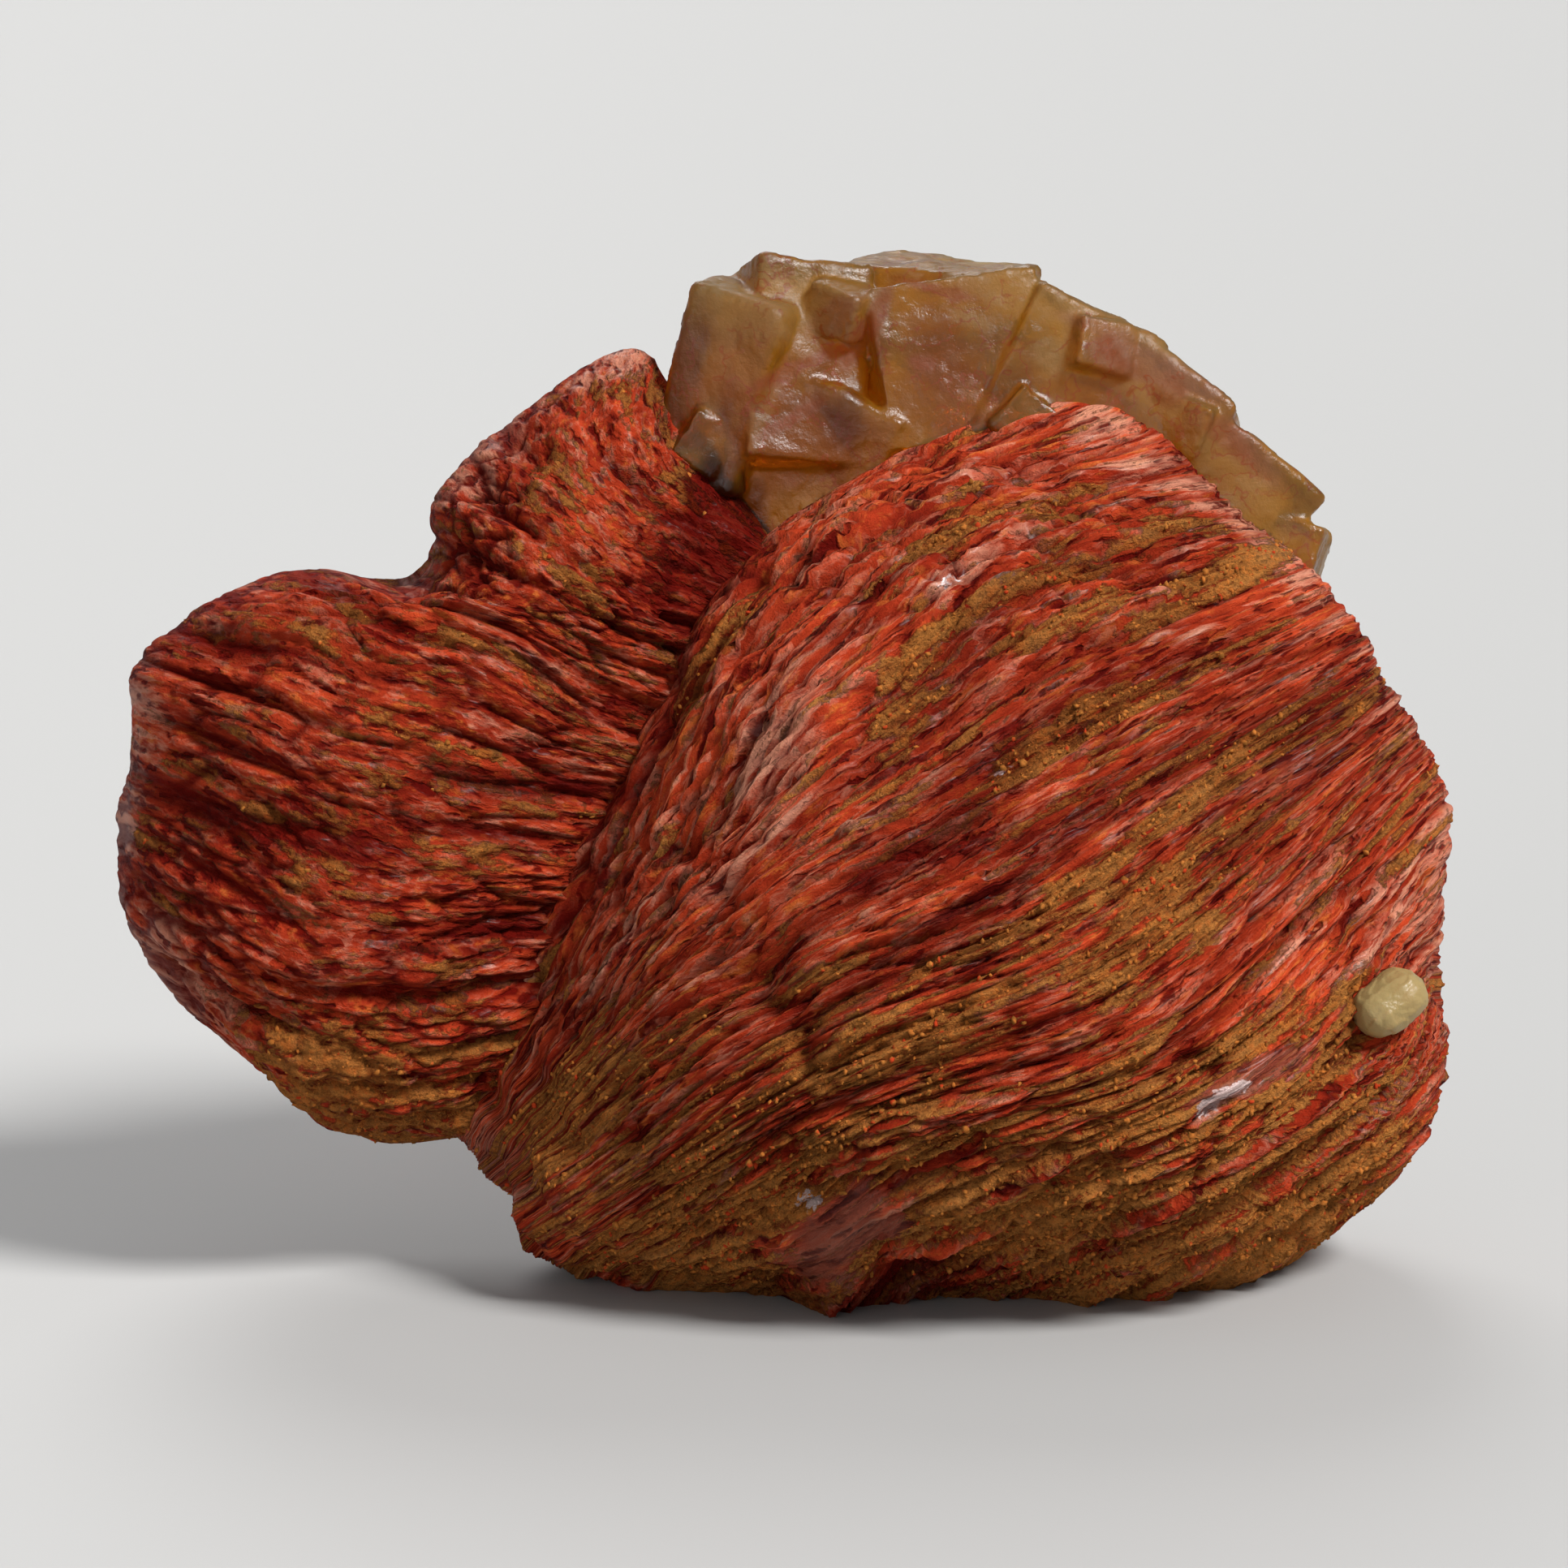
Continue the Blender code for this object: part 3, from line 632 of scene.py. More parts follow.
def fan_surface(fan, across, turn):
    """A fan's smooth skin: points, outward normals, width of a blade there, and place along it."""
    rows = len(fan.blades)
    stations = len(fan.blades[0])
    fore = np.sin(turn) > 0
    edge = np.abs(2 * across - 1)
    length = np.sqrt(1 - edge ** LENGTH_POWER)
    depth = np.sqrt(1 - edge ** DEPTH_POWER)
    points = np.zeros((len(across), len(turn), 3))
    alongs = np.zeros((len(across), len(turn)))
    for ring, row in enumerate(spline_weights(across * (rows - 1), rows)):
        along = 0.5 - 0.5 * np.cos(turn) * length[ring]
        lengthwise = spline_weights(along * (stations - 1), stations)
        outline = lengthwise @ np.tensordot(row, np.array(fan.blades), 1)
        bulge = lengthwise @ (row @ np.array(fan.front))
        reach = np.where(fore, -bulge, row @ np.array(fan.back))
        rounding = depth[ring] * np.abs(np.sin(turn)) ** BLADE_ROUNDNESS
        points[ring, :, 0] = outline[:, 0]
        points[ring, :, 1] = row @ np.array(fan.mid) + reach * rounding
        points[ring, :, 2] = outline[:, 1]
        alongs[ring] = along
    tangent = np.roll(points, -1, axis=1) - np.roll(points, 1, axis=1)
    step = np.gradient(points, across, axis=0)
    normal = np.cross(step, tangent)
    normal /= np.linalg.norm(normal, axis=2, keepdims=True)
    if np.sum(normal * (points - points.mean(axis=(0, 1)))) < 0:
        normal = -normal
    return points, normal, np.linalg.norm(step, axis=2) / fan.blade_count, alongs


def fan_room(fan, across, blade_width):
    """How much of the relief each place of a fan can carry, 0 to 1."""
    edge = np.abs(2 * across - 1)[:, None]
    return np.sqrt(1 - edge ** RELIEF_POWER) * np.minimum(1, blade_width / FULL_WIDTH) ** CROWDING


def lump_relief(points, lumps):
    """Height that rounded lumps and hollows add to the front half of a fan's skin."""
    height = np.zeros(points.shape[:2])
    for (u, v), radius, rise in lumps:
        away = (points[:, :, 0] - u) ** 2 + (points[:, :, 2] - v) ** 2
        height += rise * np.exp(-away / radius ** 2)
    return height


def plate_cells(across, along, seed):
    """Lens-shaped plates. For each point: how far inside its plate, where across it, three chances."""
    nearest = np.full(across.shape, FAR)
    second = nearest.copy()
    chances = np.zeros((3, *across.shape))
    offset = np.zeros(across.shape)
    for side, end in itertools.product((-1, 0, 1), repeat=2):
        cell = np.floor(across) + side, np.floor(along) + end
        aside = across - cell[0] - PLATE_MARGIN - PLATE_SPREAD * scatter(seed, *cell)
        ahead = along - cell[1] - scatter(seed + 1, *cell)
        away = np.hypot(aside, ahead)
        nearer = away < nearest
        second = np.where(nearer, nearest, np.minimum(second, away))
        nearest = np.where(nearer, away, nearest)
        offset = np.where(nearer, aside, offset)
        for number in range(3):
            chances[number] = np.where(nearer, scatter(seed + 2 + number, *cell), chances[number])
    return second - nearest, offset, chances


def patch_strength(seen, rows, fray):
    """How strongly soft-edged patches cover places of the view, with frayed outlines."""
    strength = np.zeros(seen.shape[:-1])
    for patch in rows:
        turn = math.radians(patch.turn)
        u = seen[..., 0] - patch.u
        v = seen[..., 1] - patch.v
        lengthwise = (u * math.cos(turn) + v * math.sin(turn)) / patch.long
        crosswise = (v * math.cos(turn) - u * math.sin(turn)) / patch.wide
        away = np.hypot(lengthwise, crosswise) + fray
        strength = np.maximum(strength, patch.strength * ramp(-away, *PATCH_EDGE))
    return strength


def seen_from_front(points):
    """Where points show in the picture plane, for the viewer."""
    nearness = VIEWER_DISTANCE / (VIEWER_DISTANCE + points[..., 1:2])
    middle = np.array(VIEW_MIDDLE)
    return middle + (points[..., ::2] - middle) * nearness


def fan_grid(rings, steps):
    """Places across a fan, turns around it, and how many of those turns lie on its front."""
    caps = np.array(CAP_PLACES)
    inner = np.linspace(FIRST_RING, 1 - FIRST_RING, rings - 2 * len(caps))
    fore_steps = round(steps * FORE_SHARE)
    turn = np.concatenate([
        np.linspace(0, math.pi, fore_steps, endpoint=False),
        np.linspace(math.pi, 2 * math.pi, steps - fore_steps, endpoint=False),
    ])
    return np.concatenate([caps, inner, 1 - caps[::-1]]), turn, fore_steps


def blade_places(fan, across, along):
    """Which blade each point of a fan lies on, counted from the first, with bends and the climb."""
    flow = flow_places(across[:, None] * fan.blade_count, along)
    lowness = np.clip((flow[..., 0] - CLIMB_START) / (fan.blade_count - CLIMB_START), 0, 1) ** CLIMB_POWER
    climb = fan.climb * CLIMB_MOST * lowness * (along - CLIMB_MIDDLE)
    return flow[..., 0] + layered_noise(flow, BEND, fan.seed) + climb


def flow_places(blade, along):
    """Where points lie along the blades, as places for noise."""
    return np.stack(np.broadcast_arrays(blade, along * FLOW_LENGTH, FLOW_LAYER), axis=-1)


def plate_coats(fan, points, flow, along, room):
    """Plates along the blades: relief, cracks, tint, stain, and how far each point stands out."""
    boldness = BOLDNESS_MIDDLE + layered_noise(points, BOLDNESS, fan.seed)
    relief, cracks, tint, stain, stand = 0.0, 0.0, 0.0, 0.0, 0.0
    for number, plates in enumerate(PLATES):
        seed = fan.seed + 10 * (number + 1)
        drift_size = (PLATE_DRIFT_SIZE[0] / plates.across, PLATE_DRIFT_SIZE[1] / plates.along, 1)
        drift = PLATE_DRIFT * lattice_noise(flow, drift_size, seed + 7)
        aside = flow[..., 0] * plates.across + drift
        inside, offset, chances = plate_cells(aside, along * plates.along, seed)
        crack = np.exp(-(inside / plates.width) ** 2)
        breaks = ramp(lattice_noise(flow, CRACK_GAPS_SIZE, seed + 8), *CRACK_BREAKS)
        crack = crack * (0.3 + 0.7 * breaks)
        rise = 2 * chances[0] - 1 + PLATE_TILT * (2 * chances[1] - 1) * offset
        if number > 0:
            room = room * boldness
        relief = relief + (plates.step * rise - plates.crack * crack) * room
        cracks = np.maximum(cracks, crack * min(1, plates.crack * CRACK_DARKNESS))
        tint = tint + chances[1] * plates.tint
        stain = stain + (2 * chances[2] - 1) * plates.stain
        stand = stand + plates.step * rise * (1 - crack)
    return relief, cracks, tint, stain, stand


def fan_skin(fan, rings, steps, coats):
    """A fan's finished skin, and what its material needs to know at each point."""
    across, turn, fore_steps = fan_grid(rings, steps)
    points, normal, blade_width, along = fan_surface(fan, across, turn)
    seed = fan.seed
    fore = (np.sin(turn) > 0)[None, :] * 1.0
    wrap = ramp(np.sin(turn), *WRAP)[None, :]

    blade_place = blade_places(fan, across, along)
    mirrored = 1 - np.abs(1 - np.abs(blade_place) / fan.blade_count)
    blades = blade_relief(fan, np.clip(mirrored, 0, 1), along)
    relief = BLADE_SHARE * blades * np.minimum(1, blade_width / FULL_WIDTH) ** CROWDING
    # Painted shade in the gaps between the blades; cracks and crust pits add to it below
    groove = ramp(-relief, *GAP_RANGE)

    middle_step = np.argmin(np.abs(along[rings // 2, :fore_steps] - PITCH_PLACE))
    widths = np.minimum(blade_width[:, middle_step], WIDEST_BLADE)
    cuts = np.cumsum(widths * np.gradient(across)) * fan.blade_count / fan.pitch
    within = np.clip(blade_place, 0, fan.blade_count)
    plate_place = np.interp(within, across * fan.blade_count, cuts) + blade_place - within
    flow = flow_places(plate_place, along)
    room = np.minimum(1, blade_width * fan.pitch / PLATE_FULL_WIDTH / widths[:, None]) * fan.rugged
    plates, cracks, tint, stain, stand = plate_coats(fan, points, flow, along, room)
    relief = relief + plates
    groove = np.maximum(groove, cracks)

    fray = layered_noise(points, FRAY, seed)
    seen = seen_from_front(points)
    cover = {name: patch_strength(seen, rows, fray) * wrap for name, rows in coats.items()}
    streaks = layered_noise(flow, STREAKS, seed)
    fine_streaks = layered_noise(flow, FINE_STREAKS, seed)
    drift = layered_noise(points, DRIFT, seed)
    gathered = {
        "patch": cover["crust"],
        "stain": stain,
        "drift": drift,
        "streaks": streaks,
        "fine_streaks": fine_streaks,
        "stand": stand,
        "low": ramp(-points[..., 2], *LOW_GROUND),
        "behind": 1 - fore,
        "pale": cover["pale"],
    }
    crust = sum(share * gathered[name] for name, share in CRUST_SHARES.items())
    crust = ramp(crust, *CRUST_RANGE) * (1 - cover["plum"])
    # Pale edges of plates that stand out are partly pale barite and partly a painted highlight; the pale
    # rims are partly their colour and partly a painted glow
    bruises_and_highlights = fan.bruised * ramp(stand + 0.5 * fine_streaks + 0.3 * streaks, *BRUISE_AND_HIGHLIGHT_RANGE)
    rims = RIM_PALENESS * ramp(along, *RIM_PLACES) * ramp(drift + 0.8 * streaks, *RIM_SPREAD)
    pale = PATCH_PALENESS * cover["pale"] * (0.6 + 0.6 * streaks) + bruises_and_highlights + rims

    grit = layered_noise(points, GRIT, seed)
    pits = ramp(layered_noise(points, PITS, seed), *PIT_RANGE)
    relief = relief * (1 - CRUST_CALM * crust) * (1 - PLUM_CALM * cover["plum"])
    earth = CRUST_THICKNESS + CRUST_GRIT * grit - CRUST_PITS * pits
    relief = relief + crust * earth + BARE_GRIT * (1 - crust) * grit
    # Painted shade in the crust's pits joins that of the gaps
    groove = np.maximum(groove * (1 - 0.4 * crust), 0.6 * crust * pits) * (1 - 0.8 * cover["plum"])
    lobes = layered_noise(points, LOBES, seed) * ramp(along, *LOBE_PLACES)
    rubble = ramp(-along, *RUBBLE_PLACES)
    chunks = layered_noise(points, CHUNKS, seed)
    calmer = 1 - RIM_CALM * ramp(along, *CALM_PLACES)
    relief = relief * calmer * (1 - RUBBLE_CALM * rubble) + lobes + rubble * chunks
    edge = np.abs(2 * across - 1)[:, None]
    ends = np.sqrt(1 - edge ** RELIEF_POWER)
    relief = (relief + lump_relief(points, fan.lumps) * fore) * ends
    skin = points + normal * relief[..., None]

    facts = {
        "tint": np.clip(tint, 0, 1),
        "groove": np.clip(groove * ends, 0, 1),
        "crust": crust,
        "pale": np.clip(pale, 0, 1),
        **{name: cover[name] for name in ("plum", "shade", "glint")},
    }
    layer = GRAIN_LAYER + GRAIN_DEPTH * points[..., 1]
    grain = np.stack([plate_place, along * GRAIN_LENGTH, layer], axis=-1)
    return skin, facts, grain


def fan_mesh(name, skin, facts, grain):
    """A closed mesh over a fan's skin, cut off flat where it rests on the table."""
    ring_count, around = skin.shape[:2]
    shape = bmesh.new()
    bmesh.ops.create_uvsphere(shape, u_segments=around, v_segments=ring_count + 1, radius=1.0)
    mesh = bpy.data.meshes.new(name)
    shape.to_mesh(mesh)
    shape.free()
    count = len(mesh.vertices)
    places = np.zeros(count * 3)
    mesh.vertices.foreach_get("co", places)
    places = places.reshape(-1, 3)
    polar = np.arccos(np.clip(places[:, 2], -1, 1))
    ring = np.clip(np.rint(polar / math.pi * (ring_count + 1)).astype(int) - 1, 0, ring_count - 1)
    step = np.rint(np.arctan2(places[:, 1], places[:, 0]) / (2 * math.pi) * around).astype(int) % around
    moved = skin[ring, step]
    moved[np.argmin(polar)] = skin[0].mean(axis=0)
    moved[np.argmax(polar)] = skin[-1].mean(axis=0)
    mesh.vertices.foreach_set("co", to_table(moved).ravel())
    for fact, values in facts.items():
        attribute = mesh.attributes.new(fact, "FLOAT", "POINT")
        attribute.data.foreach_set("value", values[ring, step])
    attribute = mesh.attributes.new("grain", "FLOAT_VECTOR", "POINT")
    attribute.data.foreach_set("vector", grain[ring, step].ravel())
    shape = bmesh.new()
    shape.from_mesh(mesh)
    if shape.calc_volume(signed=True) < 0:
        bmesh.ops.reverse_faces(shape, faces=shape.faces)
    whole = shape.verts[:] + shape.edges[:] + shape.faces[:]
    if min(vert.co.z for vert in shape.verts) < 0:
        cut = bmesh.ops.bisect_plane(shape, geom=whole, plane_co=(0, 0, 0), plane_no=(0, 0, -1),
                                     clear_outer=True)
        rim = [item for item in cut["geom_cut"] if isinstance(item, bmesh.types.BMEdge)]
        bmesh.ops.holes_fill(shape, edges=rim, sides=0)
    for face in shape.faces:
        face.smooth = True
    shape.to_mesh(mesh)
    shape.free()
    return mesh


def crumb_mesh(name, fan, skin, facts):
    """Crumbs of earth on the crusted parts of a fan, joined in one mesh."""
    random = np.random.default_rng(fan.seed)
    aside = np.gradient(skin, axis=0)
    ahead = np.gradient(skin, axis=1)
    inward = np.cross(aside, ahead)
    area = np.linalg.norm(inward, axis=2)
    weight = area * (area < CRUMB_AREA * np.median(area)) * facts["crust"] ** 4
    weight = weight * (facts["crust"] > CRUMB_CRUST) * (to_table(skin)[..., 2] > CRUMB_CLEARANCE * MM)
    places = random.choice(weight.size, fan.crumbs, p=(weight / weight.sum()).ravel())
    shape = bmesh.new()
    bmesh.ops.create_icosphere(shape, subdivisions=1, radius=1.0)
    corners = np.array([vert.co for vert in shape.verts])
    sides = np.array([[vert.index for vert in face.verts] for face in shape.faces])
    shape.free()
    number = len(places)
    sizes = random.uniform(*CRUMB_SIZES, (number, 1, 3)) * random.uniform(*CRUMB_SCALES, (number, 1, 1)) ** 2
    knobs = random.uniform(*CRUMB_KNOBS, (number, len(corners), 1))
    strays = random.uniform(-CRUMB_STRAY, CRUMB_STRAY, (2, number, 1, 1))
    inward = inward / area[..., None]
    if np.sum(inward * (skin - skin.mean(axis=(0, 1)))) > 0:
        inward = -inward
    centres = (skin + CRUMB_SINK * inward).reshape(-1, 3)[places][:, None]
    for stray, way in zip(strays, (aside, ahead)):
        centres = centres + stray * way.reshape(-1, 3)[places][:, None]
    points = centres + corners * knobs * sizes
    faces = sides + len(corners) * np.arange(number)[:, None, None]
    mesh = bpy.data.meshes.new(name)
    mesh.from_pydata(to_table(points.reshape(-1, 3)), [], faces.reshape(-1, 3))
    mesh.polygons.foreach_set("use_smooth", [True] * len(mesh.polygons))
    return mesh


def crumb_finish(name, settings):
    """Earth in ochre, olive, orange and red."""
    finish = Finish(name)
    shade = finish.noise(finish.place(1500.0), 4.0, 0.7)
    hue = finish.noise(finish.place(700.0), 4.0, 0.6)
    earth = finish.mix(finish.eased(shade, 0.42, 0.60), settings.olive, settings.ochre)
    earth = finish.mix(finish.eased(hue, 0.50, 0.60) * 0.4, earth, settings.orange)
    earth = finish.mix(1.0 - finish.eased(hue, 0.38, 0.46), earth, settings.red)
    finish.set(Base_Color=finish.mix(1.0, earth, settings.crumb_tint, "MULTIPLY"), Roughness=0.95,
               Specular_IOR_Level=DULL_SPECULAR)
    return finish.material


def show(name, data):
    """A new object in the scene."""
    item = bpy.data.objects.new(name, data)
    bpy.context.scene.collection.objects.link(item)
    return item


def add_crumbs(name, fan, skin, facts, settings):
    """Lay crumbs on a fan."""
    item = show(name, crumb_mesh(name, fan, skin, facts))
    item.data.materials.append(crumb_finish(name + "_earth", settings))
    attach(item, "root")


def piece(name, mesh, material, node):
    """Show a mesh as a piece of the specimen, in place of a solid."""
    item = show(name, mesh)
    mesh.materials.clear()
    mesh.materials.append(material)
    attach(item, "root")
    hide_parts(node)


def centring():
    """How far the solids were moved to stand over the origin, in metres."""
    turn = 2 * math.pi * np.arange(RIGHT_FAN.around) / RIGHT_FAN.around
    across = blade_rings(RIGHT_FAN.blade_count)
    points, normal, blade_width, along = fan_surface(RIGHT_FAN, across, turn)
    places = np.broadcast_to(across[:, None], along.shape)
    lumps = lump_relief(points, RIGHT_FAN.lumps) * (np.sin(turn) > 0)
    relief = blade_relief(RIGHT_FAN, places, along) + lumps
    skin = points + normal * (relief * fan_room(RIGHT_FAN, across, blade_width))[..., None]
    turned = np.array(standing())
    table = skin @ turned[:3, :3].T
    low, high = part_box("barite_right_fan")
    middle = (table.min(axis=(0, 1)) + table.max(axis=(0, 1))) / 2
    shift = (np.array(low) + np.array(high)) / 2 - middle
    return np.array([shift[0], shift[1], 0.0])


class Flow:
    """A value on its way through a material. Sums and products with it add Math nodes."""

    def __init__(self, finish, socket):
        self.finish = finish
        self.socket = socket

    def math(self, operation, *values, clamp=False):
        inputs = dict(enumerate(values))
        return self.finish.node("ShaderNodeMath", inputs, operation=operation, use_clamp=clamp)

    def __add__(self, other):
        return self.math("ADD", self, other)

    def __sub__(self, other):
        return self.math("SUBTRACT", self, other)

    def __rsub__(self, other):
        return self.math("SUBTRACT", other, self)

    def __mul__(self, other):
        return self.math("MULTIPLY", self, other)

    __radd__ = __add__
    __rmul__ = __mul__

    def distance_from(self, value):
        return self.math("ABSOLUTE", self - value)

    def clamped(self):
        return self.math("ADD", self, 0.0, clamp=True)


class Finish:
    """A material in the making."""

    def __init__(self, name):
        self.material = bpy.data.materials.new(name)
        self.material.use_nodes = True
        self.tree = self.material.node_tree
        self.tree.nodes.clear()
        self.shader = self.tree.nodes.new("ShaderNodeBsdfPrincipled")
        self.output = self.tree.nodes.new("ShaderNodeOutputMaterial")
        self.tree.links.new(self.shader.outputs[0], self.output.inputs["Surface"])

    def put(self, socket, value):
        if isinstance(value, Flow):
            self.tree.links.new(value.socket, socket)
        elif socket.type == "RGBA":
            socket.default_value = (*value, 1.0)
        else:
            socket.default_value = value

    def node(self, kind, inputs, output=0, **settings):
        made = self.tree.nodes.new(kind)
        for name, value in settings.items():
            setattr(made, name, value)
        for name, value in inputs.items():
            self.put(made.inputs[name], value)
        return Flow(self, made.outputs[output])

    def fact(self, name, output="Fac"):
        return self.node("ShaderNodeAttribute", {}, output, attribute_name=name)

    def place(self, scale):
        place = self.node("ShaderNodeTexCoord", {}, "Object")
        return self.vector("SCALE", {0: place, "Scale": scale})

    def vector(self, operation, inputs):
        return self.node("ShaderNodeVectorMath", inputs, operation=operation)

    def noise(self, place, detail=3.0, roughness=0.5, output=0):
        inputs = {"Vector": place, "Scale": 1.0, "Detail": detail, "Roughness": roughness}
        return self.node("ShaderNodeTexNoise", inputs, output)

    def eased(self, value, low, high):
        inputs = {"Value": value, "From Min": low, "From Max": high}
        return self.node("ShaderNodeMapRange", inputs, interpolation_type="SMOOTHSTEP")

    def mix(self, factor, first, second, blend="MIX"):
        return self.node("ShaderNodeMix", {0: factor, 6: first, 7: second}, 2, data_type="RGBA",
                         blend_type=blend)

    def bump(self, height, distance, strength):
        return self.node("ShaderNodeBump", {"Height": height, "Distance": distance, "Strength": strength})

    def set(self, **values):
        for name, value in values.items():
            self.put(self.shader.inputs[name.replace("_", " ")], value)


def barite_finish(name, settings):
    """Striped red barite with pale blade edges (partly painted highlight), plum faces and an ochre crust,
    with painted shade in its gaps, cracks and pits and painted glints.
    """
    finish = Finish(name)
    facts = ("tint", "groove", "crust", "pale", "plum", "shade", "glint")
    tint, groove, crust, pale, plum, shade, glint = (finish.fact(fact) for fact in facts)
    # Painted highlights: glint patches and random sparkles, which also get a glossy coat
    glint = finish.eased(glint + finish.noise(finish.place(2500.0), 2.0), 0.9, 1.1)
    waver = finish.vector("SCALE", {0: finish.noise(finish.place(900.0), output="Color"), "Scale": WAVER})
    bent = finish.vector("ADD", {0: finish.fact("grain", "Vector"), 1: waver})

    def along_blades(*scale):
        return finish.vector("MULTIPLY", {0: bent, 1: scale})

    stripes = finish.noise(along_blades(2.6, 0.40, 1.0), 4.0, 0.62)
    threads = finish.noise(along_blades(8.0, 1.1, 1.0), 4.0, 0.62)
    flecks = finish.noise(along_blades(5.0, 0.9, 3.0), 4.0, 0.65)
    # Painted shade: dark lines along the blades for gaps
    gaps = finish.eased(finish.noise(along_blades(4.5, 0.32, 7.0), 2.0), 0.53, 0.70)
    cells = {"Vector": along_blades(5.0, 0.7, 1.0), "Scale": 1.0}
    chance = finish.node("ShaderNodeSeparateColor", {0: finish.node("ShaderNodeTexVoronoi", cells, "Color")})
    clouds = finish.noise(finish.place(180.0))
    grit = finish.noise(finish.place(6000.0), 4.0, 0.7)
    crumbs = finish.noise(finish.place(1900.0), 5.0, 0.7)

    tone = (1.1 * tint + 1.5 * stripes + 0.9 * threads + 0.8 * clouds + 0.35 * chance - 1.80).clamped()
    stone = finish.mix(tone, settings.deep_red, settings.red)
    stone = finish.mix(finish.eased(flecks, 0.52, 0.68) * 0.5, stone, settings.orange)
    # Pale edges and threads: partly pale barite, partly a painted highlight along the ridges
    paleness = finish.eased(pale + 1.8 * threads + 0.5 * chance - 0.94, 0.1, 0.9)
    stone = finish.mix(paleness * 0.75, stone, settings.pale)
    stone = finish.mix(plum * 0.85, stone, settings.plum)

    earth = finish.mix(finish.eased(0.45 * grit + 0.55 * crumbs, 0.38, 0.56), settings.olive, settings.ochre)
    specks = finish.eased(0.5 * crumbs + 0.5 * flecks, 0.50, 0.60)
    earth = finish.mix(specks * 0.8, earth, settings.orange)
    ragged = crust + 1.2 * (crumbs - 0.5) + 1.4 * (stripes - 0.5) + 1.4 * (threads - 0.5)
    cover = finish.eased(ragged + 0.5 * (chance - 0.5), 0.32, 0.75)
    # Painted highlights laid over the stone and the earth
    skin = finish.mix(glint, finish.mix(cover * 0.92, stone, earth), settings.painted_highlight)
    # Painted shade from the gaps, cracks, pits and the shade patches
    dark = (groove * 0.8 + gaps * (1.0 - 0.5 * cover) * 0.75 + shade).clamped()
    skin = finish.mix(dark, skin, settings.painted_shade_tint, "MULTIPLY")

    height = 0.6 * threads + 0.8 * stripes - 0.5 * gaps
    height = height + (0.3 + 0.6 * cover) * grit + (0.2 + 1.2 * cover) * crumbs
    finish.set(
        Base_Color=skin,
        Roughness=(0.75 + 0.2 * cover + 0.2 * (grit - 0.5)).clamped(),
        Coat_Weight=((paleness * 0.2 + plum * 0.2) * (1.0 - cover) + glint).clamped(),
        Coat_Roughness=0.3,
        Normal=finish.bump(height, BARITE_BUMP, 1.0),
        IOR=BARITE_IOR,
        Specular_IOR_Level=DULL_SPECULAR,
    )
    return finish.material


def fluorite_finish(name, settings, clarity, main, deep, veined):
    """Clear to cloudy fluorite with rusty cracks."""
    finish = Finish(name)
    milk, rust, bloom, amber, recess_shade = (finish.fact(fact) for fact in FLUORITE_COATS)
    clouds = finish.noise(finish.place(180.0), 4.0, 0.6)
    veins = finish.noise(finish.place(700.0), 5.0, 0.65)
    grit = finish.noise(finish.place(3000.0), 3.0, 0.6)
    bends = finish.noise(finish.place(330.0), 3.0, 0.6)
    threads = 1.0 - finish.eased(bends.distance_from(0.5), 0.0, 0.022)
    stone = finish.mix((finish.eased(clouds, 0.40, 0.70) + amber).clamped(), main, deep)
    stone = finish.mix((milk * (0.4 + veins)).clamped(), stone, settings.milk)
    stone = finish.mix((bloom * (0.3 + veins)).clamped(), stone, settings.bloom)
    stained = (rust * (0.25 + veins) + threads * finish.eased(clouds, 0.40, 0.52) * veined).clamped()
    stone = finish.mix(stained, stone, settings.rust)
    finish.set(
        # Painted shade in the recess beside the left fan
        Base_Color=finish.mix(recess_shade, stone, settings.recess_shade_tint, "MULTIPLY"),
        Roughness=(0.30 + 0.25 * finish.eased(veins, 0.45, 0.7) + 0.2 * milk + 0.3 * rust).clamped(),
        Normal=finish.bump(veins + 0.4 * grit, FLUORITE_BUMP, 0.5),
        Transmission_Weight=clarity,
        IOR=FLUORITE_IOR,
        Specular_IOR_Level=CLEAR_SPECULAR,
    )
    absorb = finish.tree.nodes.new("ShaderNodeVolumeAbsorption")
    finish.put(absorb.inputs["Color"], settings.depth_colour)
    finish.put(absorb.inputs["Density"], settings.depth_density)
    finish.tree.links.new(absorb.outputs[0], finish.output.inputs["Volume"])
    return finish.material


def crystal_cube(centre, size, turn, worn):
    """A cube with worn edges, as a bmesh in the picture plane."""
    shape = bmesh.new()
    bmesh.ops.create_cube(shape, size=1.0)
    bmesh.ops.scale(shape, vec=Vector(size), verts=shape.verts)
    bmesh.ops.bevel(shape, geom=shape.edges[:], offset=worn * WORN_SHARE, affect="EDGES", segments=3,
                    profile=0.5, material=-1)
    turned = Euler([math.radians(angle) for angle in turn]).to_matrix().to_4x4()
    bmesh.ops.transform(shape, matrix=Matrix.Translation(centre) @ turned, verts=shape.verts)
    return shape


